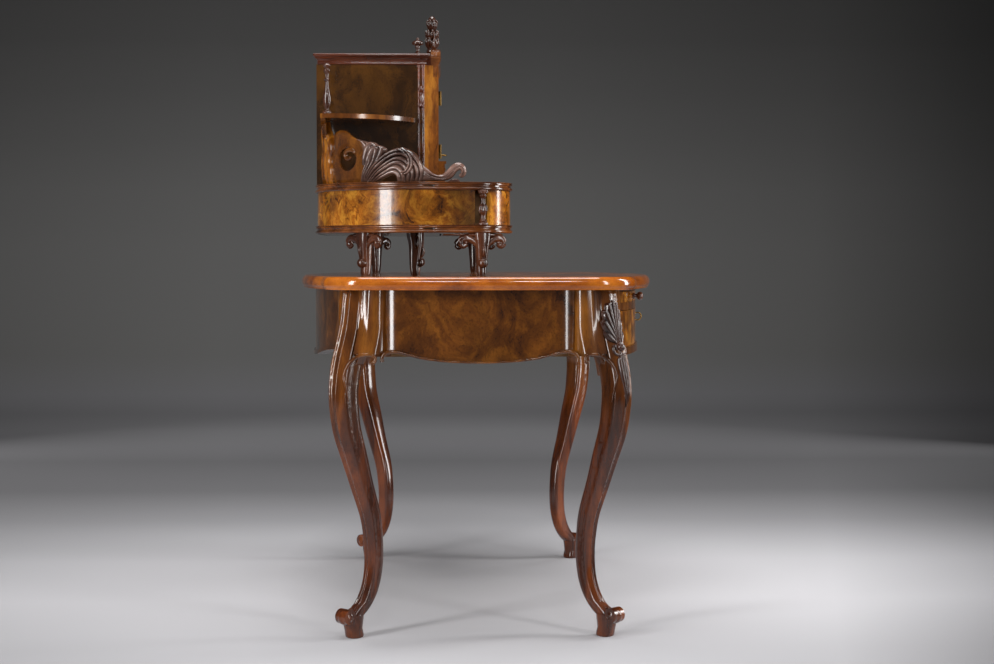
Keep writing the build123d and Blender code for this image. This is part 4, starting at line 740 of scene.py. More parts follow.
# Half of the low edge, from its scroll by the leg to its middle: how far sideways and how high.
APRON_BEAD_OUT = 537.4
APRON_BEAD = ((204.0, 583.0), (204.5, 591.0), (200.0, 598.5), (192.0, 603.0), (182.0, 604.5), (168.0, 602.5),
              (150.0, 598.0), (128.0, 592.0), (100.0, 587.0), (66.0, 583.5), (30.0, 581.8), (0.0, 581.4))
APRON_BEAD_RADII = (4.4, 4.0, 4.0, 4.0, 3.8, 3.4, 3.0, 2.8, 2.6, 2.6, 2.6, 2.6)
# Half of the bowed face: how far sideways, and how far from the table's middle it stands.
APRON_FRONT = ((0.0, 535.0), (50.0, 534.6), (95.0, 534.4), (130.0, 536.4), (152.0, 538.4), (163.0, 538.4),
               (176.0, 536.2), (188.0, 531.4), (197.0, 526.0), (203.6, 521.0))
APRON_INNER, APRON_HIGH = 513.4, 731.8
APRON_ROWS, APRON_COLUMNS = 14, 121
BEAD_SCROLL_POINTS = 18
CLOUDY = (1.2, 1.2, 0.9)

polished_wood("apron_veneer", ((54, 26, 8), (92, 50, 14), (128, 76, 22)), CLOUDY, 0.4, coat=0.1)
dress("apron_veneer", "apron_back")

low_line = sorted((y, z) for y, z in smooth_line(APRON_BEAD)[BEAD_SCROLL_POINTS:])
front_line = smooth_line(APRON_FRONT)
for side_name, side in (("left", -1), ("right", 1)):
    front, rear = [], []
    for row in range(APRON_ROWS):
        for column in range(APRON_COLUMNS):
            y = APRON_FRONT[-1][0] * (2 * column / (APRON_COLUMNS - 1) - 1)
            low = between(low_line, abs(y))
            z = low + (APRON_HIGH - low) * row / (APRON_ROWS - 1)
            front.append((side * between(front_line, abs(y)), y, z))
            rear.append((side * APRON_INNER, y, z))
    flat = [0.0] * len(front)
    rail = skin_and_back(front, rear, APRON_ROWS, APRON_COLUMNS, flat)
    half_bead = [(side * APRON_BEAD_OUT, y, z) for y, z in APRON_BEAD]
    whole_bead = half_bead + [(x, -y, z) for x, y, z in reversed(half_bead[:-1])]
    bead_radii = APRON_BEAD_RADII + APRON_BEAD_RADII[-2::-1]
    apron = piece("shaped_apron_" + side_name, [tube(whole_bead, bead_radii), rail], "apron_veneer")
    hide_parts("apron_" + side_name)

# ---------------------------------------------------------------- table top
# A framed walnut top, its round edge moulding cut from the solid and waxed bright, the panel in
# figured veneer laid along its length.

TOP_CUSP, TOP_SLANT, TOP_SIDE = (450.0, 332.5), (530.9, 301.9), (562.0, 235.0)
TOP_MIDDLE_X, TOP_MIDDLE_Y = 570.0, 405.0
TOP_LOW = 732.0
TOP_FRONT_STEPS, TOP_CORNER_STEPS, TOP_END_STEPS = 40, 14, 24
MITRE_LEAST = 0.45
# Round the section of the moulding: how far proud of the outline, and how high.
TOP_EDGE = ((-16.2, 0.2), (-5.6, 0.2), (-4.6, 0.8), (-4.2, 3.4), (-3.6, 4.4), (-1.6, 6.6), (-0.4, 9.4),
            (0.0, 13.0), (-0.4, 17.0), (-1.8, 21.0), (-4.2, 24.6), (-7.4, 27.0), (-11.0, 27.9), (-16.2, 28.0))
EDGE_TONES = ((104, 48, 9), (158, 80, 16), (192, 108, 28))
TOP_TONES = ((74, 34, 14), (132, 68, 26), (176, 104, 48))


def arc(start, middle, stop, steps):
    """Points on the circle through three points, from the first to the last, the first left out."""
    (ax, ay), (bx, by), (cx, cy) = start, middle, stop
    d = 2 * (ax * (by - cy) + bx * (cy - ay) + cx * (ay - by))
    a2, b2, c2 = ax * ax + ay * ay, bx * bx + by * by, cx * cx + cy * cy
    mx = (a2 * (by - cy) + b2 * (cy - ay) + c2 * (ay - by)) / d
    my = (a2 * (cx - bx) + b2 * (ax - cx) + c2 * (bx - ax)) / d
    radius = math.hypot(ax - mx, ay - my)
    first, mid, last = (math.atan2(y - my, x - mx) for x, y in (start, middle, stop))
    turn = (last - first) % (2 * math.pi)
    if (mid - first) % (2 * math.pi) > turn:
        turn -= 2 * math.pi
    angles = [first + turn * i / steps for i in range(1, steps + 1)]
    return [(mx + radius * math.cos(angle), my + radius * math.sin(angle)) for angle in angles]


def top_line():
    """The top's plan outline in eight arcs, clockwise from its back left cusp."""
    line = []
    for way in (1, -1):
        cusp, slant, end = ((way * x, way * y) for x, y in (TOP_CUSP, TOP_SLANT, TOP_SIDE))
        far_cusp, far_slant, far_end = ((x, -y) for x, y in (cusp, slant, end))
        line += arc((-cusp[0], cusp[1]), (0.0, way * TOP_MIDDLE_Y), cusp, TOP_FRONT_STEPS)
        line += arc(cusp, slant, end, TOP_CORNER_STEPS)
        line += arc(end, (way * TOP_MIDDLE_X, 0.0), far_end, TOP_END_STEPS)
        line += arc(far_end, far_slant, far_cusp, TOP_CORNER_STEPS)
    return line


def moulding(line, profile, base, closed=True):
    """A profile of proud and height pairs run along a plan line and mitred at its corners."""
    points, count = [], len(line)
    for i, (x, y) in enumerate(line):
        before = line[(i - 1) % count] if closed or i else line[i]
        after = line[(i + 1) % count] if closed or i + 1 < count else line[i]
        normals = []
        for a, b in ((before, (x, y)), ((x, y), after)):
            long = math.hypot(b[0] - a[0], b[1] - a[1])
            if long > 1e-9:
                normals.append((-(b[1] - a[1]) / long, (b[0] - a[0]) / long))
        nx, ny = sum(n[0] for n in normals), sum(n[1] for n in normals)
        long = math.hypot(nx, ny)
        nx, ny = nx / long, ny / long
        mitre = max(MITRE_LEAST, nx * normals[0][0] + ny * normals[0][1])
        points += [(x + nx * proud / mitre, y + ny * proud / mitre, base + up) for proud, up in profile]
    faces = grid(count, len(profile), round_rows=closed, round_columns=True)
    if not closed:
        faces += end_faces(count, len(profile))
    return points, faces, None


polished_wood("edge_walnut", EDGE_TONES, (1.2, 1.2, 2.6), blotch=0.25, rough=(0.1, 0.2))
polished_wood("top_veneer", TOP_TONES, ALONG_X, 0.3)
edge = piece("bullnose_top_edge", [moulding(top_line(), TOP_EDGE, TOP_LOW)], "edge_walnut")
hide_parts("table_top_moulding")
dress("top_veneer", "table_top_panel")

# ---------------------------------------------------------------- front rails, drawer and slide
# A bowed front: walnut rails, one long drawer in burl veneer on oak sides, its brass lock and key,
# and over it a writing slide with green leather let in and two turned knobs.

BURL_TONES = ((66, 32, 6), (164, 94, 20), (214, 144, 44))
OAK_TONES = ((108, 72, 42), (150, 108, 66), (180, 138, 92))
LEATHER_STOPS = ((0.3, srgb(34, 50, 30)), (0.7, srgb(58, 78, 46)))
KNOB_APART = 250.0
KNOB_STEM = (6.4, -20.0)
KNOB = ((6.4, 0.4), (6.6, 3.0), (4.6, 6.0), (5.0, 9.0), (8.2, 12.0), (9.4, 16.0), (8.2, 20.0), (4.6, 22.3),
        (0.3, 22.9))

polished_wood("burl_veneer", BURL_TONES, CLOUDY, 1.0, blotch=0.72)
polished_wood("inner_wood", OAK_TONES, ALONG_Y, gloss=0.1, rough=(0.45, 0.65))
dress("burl_veneer", "drawer_front", "writing_slide_board")
dress("leg_walnut", "front_rails_upper", "front_rail_lower")
dress("inner_wood", "drawer_sides", "drawer_back", "drawer_bottom", "drawer_runners")


def metal(name, colour, rough, dim_share=0.5):
    """Old metal, dimmer and duller where it is tarnished."""
    material, tree, shader = shader_of(name)
    place = tree.nodes.new("ShaderNodeTexCoord").outputs["Object"]
    tarnish = noise(tree, place, scale=60.0, distortion=0.3)
    dim = tuple(value * dim_share for value in colour[:3]) + (1.0,)
    tree.links.new(colour_ramp(tree, tarnish, ((0.3, dim), (0.6, colour))), shader.inputs["Base Color"])
    tree.links.new(ranged(tree, tarnish, wanted=rough), shader.inputs["Roughness"])
    shader.inputs["Metallic"].default_value = 1.0
    return material


def green_leather():
    """Dyed hide, a little uneven in tone, with a fine pebbled grain."""
    material, tree, shader = shader_of("green_leather")
    place = tree.nodes.new("ShaderNodeTexCoord").outputs["Object"]
    hide_tone = colour_ramp(tree, noise(tree, place, scale=7.0), LEATHER_STOPS)
    tree.links.new(hide_tone, shader.inputs["Base Color"])
    bumped(tree, noise(tree, place, scale=320.0, detail=4.0), shader, strength=0.3, distance=0.0005)
    shader.inputs["Roughness"].default_value = 0.55
    return material


def turned(profile, steps=4):
    """A turned outline from radius and height pairs, rounded between them."""
    return [(max(radius, 0.05), up) for radius, up in smooth_line(profile, steps)]


finish["brass"] = metal("old_brass", srgb(158, 124, 66), rough=(0.25, 0.5))
finish["steel"] = metal("lock_steel", srgb(138, 138, 142), rough=(0.25, 0.55))
dress("brass", "drawer_escutcheon", "drawer_key")
dress("steel", "drawer_lock_case", "drawer_bolt")

finish["leather"] = green_leather()
dress("leather", "writing_slide_leather")

knob_low, knob_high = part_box("slide_knobs")
knob_middle = (knob_low.z + knob_high.z) / 2 / MM
knob_foot = knob_low.y / MM + KNOB[-1][1]
knobs = []
for side in (-1, 1):
    def knob_place(a, b, up):
        return (side * KNOB_APART + a, knob_foot - up, knob_middle + b)

    knobs.append(lathe(knob_place, [KNOB_STEM] + turned(KNOB)))
knob_pair = piece("turned_slide_knobs", knobs, "carved_walnut", body="writing_slide")
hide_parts("slide_knobs")

# ---------------------------------------------------------------- stand legs
# Six small walnut legs that lift the drawer case off the table top, each with a round toe, a drop
# down its front and a carved bracket that curls out to both sides.

STAND_FOOT = 760.0
# Each leg on one side: where it stands, and which way its front looks.
STAND_PLACES = ((352.0, 246.0, 1.0, 1.0), (380.0, -6.0, 1.0, -0.35), (170.0, 140.0, 0.0, -1.0))
# Down the leg: how far out, how high, how wide and how deep.
STAND_ROWS = ((-1.0, 92.8, 38.0, 38.0), (0.0, 84.0, 36.0, 36.0), (1.0, 74.0, 33.0, 33.0),
              (1.0, 62.0, 29.0, 30.0), (0.0, 48.0, 26.0, 27.0), (-1.0, 34.0, 23.0, 24.0),
              (-2.0, 20.0, 21.0, 21.0), (-1.0, 8.0, 20.0, 20.0), (-1.0, 0.2, 17.0, 17.0))
STAND_TOE, STAND_TOE_RADIUS = (9.5, 28.0), 11.0
STAND_DROP = ((14.0, 66.0), (17.0, 56.0), (14.5, 46.0), (10.0, 38.0), (12.0, 30.0))
STAND_DROP_RADII = (2.0, 4.0, 3.6, 2.8, 3.4)
BRACKET_OUT = 4.0
BRACKET = ((8.0, 58.0), (14.0, 69.0), (24.0, 78.0), (36.0, 82.0), (46.0, 79.0), (49.0, 71.0), (44.0, 65.0),
           (37.5, 68.5), (39.0, 74.5))
BRACKET_RADII = (2.5, 4.0, 5.2, 5.8, 5.6, 5.0, 4.4, 3.8, 3.0)
BRACKET_CAP = ((6.0, 88.0), (16.0, 89.0), (28.0, 88.6), (36.0, 88.0))
BRACKET_CAP_RADII = (4.0, 4.6, 4.0, 2.0)

stand_rows = smooth_line(STAND_ROWS, 4)
stand_ball = []
for degrees in range(-90, 91, 12):
    turn = math.radians(degrees)
    stand_ball.append((max(0.3, STAND_TOE_RADIUS * math.cos(turn)), STAND_TOE_RADIUS * math.sin(turn)))
small_legs = []
for side_x in (-1, 1):
    for x, y, run_x, run_y in STAND_PLACES:
        long = math.hypot(run_x, run_y)
        out_x, out_y = run_x / long, run_y / long

        def stand_place(out, side, high):
            return (side_x * (x + out_x * out - out_y * side), y + out_y * out + out_x * side,
                    STAND_FOOT + high)

        def stand_toe_place(a, b, along):
            return stand_place(STAND_TOE[0] + a, along, STAND_TOE[1] + b)

        small_legs.append(swept_block(stand_place, stand_rows, sides=24, squareness=0.7))
        small_legs.append(lathe(stand_toe_place, stand_ball, sides=24))
        small_legs.append(tube([stand_place(out, 0.0, high) for out, high in STAND_DROP], STAND_DROP_RADII))
        for side in (-1, 1):
            scroll = [stand_place(BRACKET_OUT, side * across, high) for across, high in BRACKET]
            small_legs.append(tube(scroll, BRACKET_RADII, squash=1.5))
            cap = [stand_place(BRACKET_OUT, side * across, high) for across, high in BRACKET_CAP]
            small_legs.append(tube(cap, BRACKET_CAP_RADII))
stand_set = piece("scrolled_stand_legs", small_legs, "carved_walnut")
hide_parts("stand_legs")

# ---------------------------------------------------------------- drawer case
# A serpentine case on a base board, its walls bent and veneered all round in amber burl, between
# two many-beaded mouldings, with a carved column let into each end and three drawers to the front.

CASE_END = ((158.0, 361.0), (225.8, 352.1), (289.0, 325.9), (343.3, 284.3), (384.9, 230.0), (407.2, 180.0),
            (416.0, 143.0), (417.8, 112.0), (416.2, 90.0), (411.4, 66.0), (403.8, 36.0), (396.0, 8.0))
CASE_LOBE_START, CASE_LOBE_MIDDLE, CASE_LOBE_END = (392.0, -24.0), (300.0, -71.0), (208.0, -24.0)
CASE_LOBE_STEPS = 12
CASE_RECESS = (190.0, 80.0)
CASE_WALL, CASE_WALL_LOW = ((-12.0, 0.0), (0.0, 0.0), (0.0, 75.2), (-12.0, 75.2)), 869.9
CASE_FOOT, CASE_HEAD = 853.0, 945.0
CASE_MOULDING = ((-4.0, 0.0), (3.2, 0.0), (4.6, 0.8), (5.4, 2.2), (5.6, 3.6), (5.0, 5.0), (3.6, 5.8),
                 (2.6, 6.2), (1.6, 7.6), (1.2, 9.4), (1.8, 10.6), (3.2, 11.0), (4.2, 11.6), (4.6, 12.8),
                 (4.2, 14.0), (3.2, 14.6), (4.6, 15.0), (5.6, 15.6), (5.8, 16.4), (5.0, 17.0), (-4.0, 17.0))
COLUMN_AT, COLUMN_LOW = (399.0, -9.0), 870.0
COLUMN = ((0.3, 0.0), (10.6, 0.1), (10.6, 4.0), (8.0, 6.0), (9.6, 9.5), (6.2, 12.5), (5.0, 17.0), (5.6, 21.0),
          (9.0, 27.0), (10.6, 33.0), (9.0, 40.0), (5.4, 47.0), (4.6, 53.0), (5.4, 58.0), (8.6, 62.0),
          (6.6, 65.0), (10.2, 68.0), (10.8, 71.0), (10.8, 74.6), (0.3, 74.9))
MOULDING_TONES = ((50, 24, 10), (98, 52, 20), (144, 84, 38))
SHADED_TONES = ((30, 16, 4), (56, 32, 8), (82, 50, 14))

# The case's burl, with painted shade over a span from front to back.
polished_wood("case_veneer_painted_shade", BURL_TONES, CLOUDY, 1.0, blotch=0.72, painted_shade_span=(-0.012, 0.125))
polished_wood("moulding_walnut", MOULDING_TONES, ALONG_Y)
polished_wood("cabinet_veneer", SHADED_TONES, CLOUDY, 0.35)
dress("inner_wood", "left_drawer_tray", "right_drawer_tray", "centre_drawer_tray")
dress("burl_veneer", "case_uprights", "left_drawer_front", "right_drawer_front", "centre_drawer_front")
dress("cabinet_veneer", "case_base_board", "case_top_board")


def mirrored(half):
    return half + [(-x, y) for x, y in reversed(half)]


def upright(x, y, low):
    """From a turned piece's own axis to the table's frame, standing at a place."""
    return lambda a, b, up: (x + a, y + b, low + up)


case_end = smooth_line(CASE_END)
wall_line = [(-x, y) for x, y in reversed(case_end)] + case_end
walls = piece("bent_case_walls", [moulding(wall_line, CASE_WALL, CASE_WALL_LOW, closed=False)],
              "burl_veneer", "case_veneer_painted_shade")
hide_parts("case_walls")
front_lobe = arc(CASE_LOBE_START, CASE_LOBE_MIDDLE, CASE_LOBE_END, CASE_LOBE_STEPS)
case_outline = mirrored(case_end + [CASE_LOBE_START] + front_lobe + [CASE_RECESS])
foot = piece("case_foot_moulding", [moulding(case_outline, CASE_MOULDING, CASE_FOOT)],
             "cabinet_veneer", "moulding_walnut")
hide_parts("case_lower_moulding")
head = piece("case_head_moulding", [moulding(case_outline, CASE_MOULDING, CASE_HEAD)],
             "cabinet_veneer", "moulding_walnut")
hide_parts("case_upper_moulding")
columns = [lathe(upright(side * COLUMN_AT[0], COLUMN_AT[1], COLUMN_LOW), turned(COLUMN), sides=48,
                 petals=8, petal_depth=0.22, petal_span=(0.25, 0.95)) for side in (-1, 1)]
column_pair = piece("carved_case_columns", columns, "carved_walnut")
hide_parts("case_columns")

# ---------------------------------------------------------------- cabinet
# The raised middle cabinet in walnut veneer, its front corners faced with pilasters on small
# plinths and half columns with a carved drop, and a mirror door hung on two pin hinges.

CABINET_LOW = 962.0
HALF_COLUMN_X, HALF_COLUMN_DEPTHS = 199.0, (121.0, 130.0)
HALF_COLUMN = ((0.3, 0.0), (4.6, 0.1), (4.6, 9.0), (3.2, 12.0), (3.4, 80.0), (3.2, 160.0), (3.2, 262.0),
               (4.6, 265.0), (4.6, 270.2), (0.3, 270.5))
DROP_X, DROP_DEPTH = 201.0, 125.5
DROP = ((0.5, 173.0), (5.6, 176.0), (6.0, 180.0), (3.4, 183.0), (5.0, 189.0), (6.2, 196.0), (4.6, 203.0),
        (3.0, 208.0), (5.8, 212.0), (6.4, 217.0), (4.0, 221.0), (0.5, 224.0))
CORNICE_TONES = ((36, 13, 6), (70, 28, 11), (108, 50, 22))

polished_wood("pilaster_veneer", ((72, 34, 8), (140, 78, 18), (184, 116, 36)), (2.0, 2.0, 0.5), 0.5)
polished_wood("cornice_walnut", CORNICE_TONES, ALONG_Y)
finish["dark_brass"] = metal("dark_brass", srgb(104, 80, 42), rough=(0.3, 0.55))
finish["mirror"] = metal("silvered_glass", srgb(222, 226, 228), rough=(0.01, 0.03), dim_share=0.94)
dress("cabinet_veneer", "cabinet_sides", "cabinet_back", "cabinet_pediment", "door_frame")
dress("pilaster_veneer", "cabinet_pilasters")
dress("inner_wood", "cabinet_shelf")
dress("dark_brass", "door_hinge_knuckles", "door_hinge_pins")
dress("brass", "door_escutcheon", "door_key")
dress("steel", "door_lock_case", "door_bolt")
dress("mirror", "door_mirror")

shafts = []
for side in (-1, 1):
    for depth in HALF_COLUMN_DEPTHS:
        standing_at = upright(side * HALF_COLUMN_X, depth, CABINET_LOW)
        shafts.append(lathe(standing_at, turned(HALF_COLUMN, steps=3), sides=28))
    shafts.append(lathe(upright(side * DROP_X, DROP_DEPTH, CABINET_LOW), turned(DROP), sides=32,
                        petals=6, petal_depth=0.25))
shaft_pair = piece("turned_half_columns", shafts, "cabinet_veneer", "cornice_walnut")
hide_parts("cabinet_half_columns")

# ---------------------------------------------------------------- cornice
# A mitred cornice in dark walnut round the cabinet's head, with a cap bead, a cove and a fillet,
# glued round its top board.

CORNICE_LOW = 1232.6
CORNICE = ((-6.0, 0.0), (2.6, 0.0), (3.6, 1.2), (3.8, 3.0), (3.0, 4.6), (2.6, 6.0), (3.4, 9.0), (5.4, 12.0),
           (8.0, 13.6), (8.8, 14.2), (9.0, 16.0), (11.0, 17.0), (12.4, 18.6), (12.9, 20.4), (12.4, 22.4),
           (11.0, 23.8), (9.6, 24.4), (-6.0, 24.4))
CORNICE_LINE = ((-200.0, 354.0), (200.0, 354.0), (200.0, 117.0), (-200.0, 117.0))
HEAD_BOARD = ((-196.0, 120.0), (196.0, 120.0), (196.0, 350.0), (-196.0, 350.0))
HEAD_BOARD_LOW, HEAD_BOARD_HIGH = CORNICE_LOW + 0.2, CORNICE_LOW + 24.2
FILLET = ((-180.0, 103.6), (180.0, 103.6), (180.0, 118.0), (-180.0, 118.0))
FILLET_LOW, FILLET_HIGH = CORNICE_LOW + 0.4, CORNICE_LOW + 24.0


def board(outline, near, far, place):
    """A flat board: one outline at two distances and the edge between them."""
    points = [place(a, b, out) for out in (near, far) for a, b in outline]
    return points, end_faces(2, len(outline)) + grid(2, len(outline), round_columns=True), None


def lying(x, y, z):
    return (x, y, z)


cornice = piece("moulded_cornice", [moulding(CORNICE_LINE, CORNICE, CORNICE_LOW),
                                    board(HEAD_BOARD, HEAD_BOARD_LOW, HEAD_BOARD_HIGH, lying),
                                    board(FILLET, FILLET_LOW, FILLET_HIGH, lying)],
                "cabinet_veneer", "cornice_walnut")
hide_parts("cabinet_cornice")

# ---------------------------------------------------------------- pediment
# An arched walnut board over the door, under a thick cap that is cut in a hollow and flares
# forward, glued to the front of the cornice.

PEDIMENT_HALF, PEDIMENT_SIDE, PEDIMENT_MIDDLE = 180.0, 1240.0, 1276.0
PEDIMENT_CAP = ((103.3, 10.0), (82.6, 10.0), (81.2, 8.6), (81.2, 4.0), (82.8, 1.0), (85.0, -3.0),
                (88.2, -9.0), (91.4, -18.0), (93.6, -28.0), (94.6, -30.4), (94.6, -33.0), (98.0, -33.0),
                (103.3, -33.0))
FIELD_HALF, FIELD_LOW, FIELD_FRONT, FIELD_BACK, FIELD_BELOW_CAP = 176.0, 1207.2, 90.2, 103.3, 4.0
ARCH_STEPS = 36


def arch_high(x):
    """The height of the pediment's round arch over a place."""
    rise = PEDIMENT_MIDDLE - PEDIMENT_SIDE
    radius = (PEDIMENT_HALF ** 2 + rise ** 2) / (2 * rise)
    return PEDIMENT_MIDDLE - radius + math.sqrt(radius * radius - x * x)


def standing(x, z, y):
    return (x, y, z)


cap_points, field_line = [], [(-FIELD_HALF, FIELD_LOW), (FIELD_HALF, FIELD_LOW)]
for step in range(ARCH_STEPS + 1):
    across = 2 * step / ARCH_STEPS - 1
    x = PEDIMENT_HALF * across
    cap_points += [(x, y, arch_high(x) + up) for y, up in PEDIMENT_CAP]
    field_x = -FIELD_HALF * across
    field_line.append((field_x, arch_high(field_x) - FIELD_BELOW_CAP))
cap_faces = grid(ARCH_STEPS + 1, len(PEDIMENT_CAP), round_columns=True)
cap_faces += end_faces(ARCH_STEPS + 1, len(PEDIMENT_CAP))
field = board(field_line, FIELD_FRONT, FIELD_BACK, standing)
pediment = piece("flared_pediment", [(cap_points, cap_faces, None), field],
                 "cabinet_veneer", "moulding_walnut")
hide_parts("cabinet_pediment")

# ---------------------------------------------------------------- finials and crest
# Two turned mushroom finials dowelled over the front corners, and on the middle of the pediment a
# bud carved in walnut, wrapped in three rings of leaves with a curl at each side of its foot.

FINIAL_AT, FINIAL_LOW = (186.0, 133.0), 1257.0
FINIAL = ((0.3, 0.0), (7.8, 0.1), (7.8, 2.6), (5.0, 5.0), (3.8, 9.0), (4.2, 13.0), (5.6, 15.0), (5.0, 19.0),
          (8.0, 21.0), (12.0, 22.4), (12.9, 24.4), (12.6, 26.8), (10.6, 29.0), (6.0, 30.8), (3.4, 32.4),
          (3.8, 34.6), (3.0, 36.8), (0.3, 37.9))
CREST_MIDDLE, CREST_LOW, CREST_HALF_DEEP = 101.0, 1285.0, 16.5
CREST_BUD = ((0.3, -6.0), (12.0, -5.0), (13.0, 2.0), (9.0, 8.0), (12.0, 18.0), (12.6, 30.0), (10.0, 42.0),
             (7.0, 51.0), (8.6, 58.0), (10.4, 66.0), (9.6, 73.0), (6.4, 78.4), (2.6, 81.4), (0.3, 82.3))
# Each ring of leaves: its foot, its tip, its reach, the width of a leaf and how far round it leans.
CREST_RINGS = ((0.0, 30.0, 16.0, 7.5, 0.0), (18.0, 48.0, 15.5, 6.5, 0.5), (46.0, 72.0, 12.0, 5.0, 0.0))
CREST_LEAVES, CREST_FIRST_TURN = 8, 22.5
PETAL_ROOT, PETAL_BEND, PETAL_RELIEF, CREST_WIDE = 5.0, 0.62 * math.pi, 0.8, 1.15
PETAL_PLACES, PETAL_WIDTHS, PETAL_TIP = (0.0, 0.35, 0.7, 1.0), (0.5, 1.0, 0.9), 1.2
CREST_CURL = ((4.0, 4.0), (14.0, 3.0), (23.0, 5.0), (27.0, 11.0), (23.5, 16.0), (18.5, 13.0))
CREST_CURL_FORWARD = 4.0
CREST_CURL_RADII = (3.6, 4.6, 4.2, 3.6, 3.4, 3.0)

finials = [lathe(upright(side * FINIAL_AT[0], FINIAL_AT[1], FINIAL_LOW), turned(FINIAL)) for side in (-1, 1)]
finial_pair = piece("turned_corner_finials", finials, "carved_walnut")
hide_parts("corner_finials")

crest_place = upright(0.0, CREST_MIDDLE, CREST_LOW)
crest = [lathe(crest_place, turned(CREST_BUD), petals=7, petal_depth=0.3, petal_span=(0.15, 0.98))]
for step in range(CREST_LEAVES):
    turn = math.radians(360.0 / CREST_LEAVES * step + CREST_FIRST_TURN)
    for low, high, reach, wide, lean in CREST_RINGS:
        def petal_place(side, up, out):
            share = min(1.0, (up - low) / (high - low))
            far = PETAL_ROOT + (reach - PETAL_ROOT) * math.sin(share * PETAL_BEND) + out * PETAL_RELIEF
            face = turn + lean
            x = far * math.cos(face) * CREST_WIDE - side * math.sin(face)
            y = far * math.sin(face) + side * math.cos(face)
            return crest_place(x, max(-CREST_HALF_DEEP, min(CREST_HALF_DEEP, y)), up)

        spine = [(0.0, low + share * (high - low)) for share in PETAL_PLACES]
        widths = [wide * part for part in PETAL_WIDTHS] + [PETAL_TIP]
        crest.append(leaf(petal_place, spine, widths, rise=2.6, thick=2.0, ribs=2))
for side in (-1, 1):
    curl = [crest_place(side * across, -CREST_CURL_FORWARD, up) for across, up in CREST_CURL]
    crest.append(tube(curl, CREST_CURL_RADII))
crest_piece = piece("carved_crest", crest, "carved_walnut")
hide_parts("pediment_crest")

# ---------------------------------------------------------------- side shelves
# A small shaped walnut shelf each side of the cabinet, housed in its side, with a waved plank
# below it and a turned vase baluster at its back corner.

WING_SAWN = ((246.0, 963.0), (252.0, 980.0), (242.0, 1000.0), (248.0, 1020.0), (240.0, 1042.0),
             (250.0, 1062.0), (276.0, 1078.0), (304.0, 1088.0), (324.0, 1098.0))
WING_INNER, WING_OUTER, WING_LOW, WING_HIGH = 200.0, 325.0, 963.0, 1102.8
WING_FRONT, WING_BACK = 333.0, 343.5
BALUSTER_AT, BALUSTER_LOW = (312.0, 330.0), 1113.0
BALUSTER = ((0.3, 0.0), (9.9, 0.1), (9.9, 5.0), (5.0, 9.0), (4.4, 12.0), (7.6, 20.0), (9.2, 30.0),
            (8.0, 42.0), (5.0, 56.0), (3.8, 66.0), (4.0, 72.0), (7.0, 75.0), (4.0, 79.0), (4.6, 88.0),
            (8.0, 95.0), (5.0, 100.0), (9.0, 105.0), (6.2, 109.0), (0.3, 111.8))

dress("leg_walnut", "side_shelves")
wing_line = [(WING_INNER, WING_LOW)] + smooth_line(WING_SAWN, 5)
wing_line += [(WING_OUTER, WING_HIGH), (WING_INNER, WING_HIGH)]
wings = [board([(side * x, z) for x, z in wing_line], WING_FRONT, WING_BACK, standing) for side in (-1, 1)]
wing_pair = piece("waved_wing_planks", wings, "apron_veneer")
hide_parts("wing_planks")
balusters = [lathe(upright(side * BALUSTER_AT[0], BALUSTER_AT[1], BALUSTER_LOW), turned(BALUSTER),
                   sides=36) for side in (-1, 1)]
baluster_pair = piece("turned_balusters", balusters, "carved_walnut")
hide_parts("shelf_balusters")

# ---------------------------------------------------------------- gallery
# A curved walnut plank round each back corner of the case, pierced by an oval eye with a scroll in
# it. Carved ribs, leaves and a tail that curls over are glued to its outer face. Their edges are
# given as seen square from the end: how far back, and how high.

BAND_CENTRE, BAND_RADIUS, BAND_THICK, BAND_FURTHEST = (158.0, 99.0), 250.0, 8.0, 0.995
PLANK_FOOT = tuple((across, 962.5) for across in (334.0, 322.0, 308.0, 294.0, 280.0, 266.0, 252.0))
PLANK_SAWN = ((240.0, 963.5), (238.0, 985.0), (238.0, 1005.0), (242.0, 1028.0), (250.0, 1045.0),
              (260.0, 1054.0), (270.0, 1059.0), (280.0, 1066.0), (289.0, 1075.0), (299.0, 1078.0),
              (309.0, 1077.0), (318.0, 1070.0), (319.0, 1060.0), (322.0, 1048.0), (328.0, 1034.0),
              (332.0, 1014.0), (334.0, 990.0))
PLANK_RINGS, PLANK_ROUNDING = 6, 2.0
EYE_MIDDLE, EYE_HALF = (287.0, 1014.0), (20.0, 25.0)
EYE_CURL = ((268.0, 1026.0), (275.0, 1033.0), (285.0, 1034.0), (292.0, 1027.0), (291.0, 1018.0),
            (284.0, 1014.0), (279.0, 1018.0))
EYE_CURL_IN = 3.0
EYE_CURL_RADII = (4.0, 5.4, 5.6, 5.2, 4.6, 4.0, 3.2)
WING_RIBS = (((345.0, 963.0), (345.0, 1000.0), (343.0, 1040.0), (344.0, 1075.0), (340.0, 1100.0)),
             ((321.0, 963.0), (318.0, 990.0), (323.0, 1015.0), (317.0, 1040.0), (323.0, 1065.0),
              (330.0, 1085.0), (334.0, 1100.0)))
FIRST_LEAF = (((254.0, 964.0), (248.0, 989.0), (243.0, 1009.0), (245.0, 1030.0), (254.0, 1050.0),
               (267.0, 1057.0)),
              ((243.0, 964.0), (232.0, 982.0), (217.0, 1002.0), (206.0, 1020.0), (200.0, 1032.0),
               (210.0, 1040.0)))
FIRST_FOLD = (((249.0, 1000.0), (247.0, 1022.0), (243.0, 1040.0), (234.0, 1049.0), (222.0, 1046.0),
               (214.0, 1036.0)),
              ((238.0, 996.0), (230.0, 1010.0), (224.0, 1024.0), (218.0, 1030.0), (210.0, 1030.0),
               (204.0, 1024.0)))
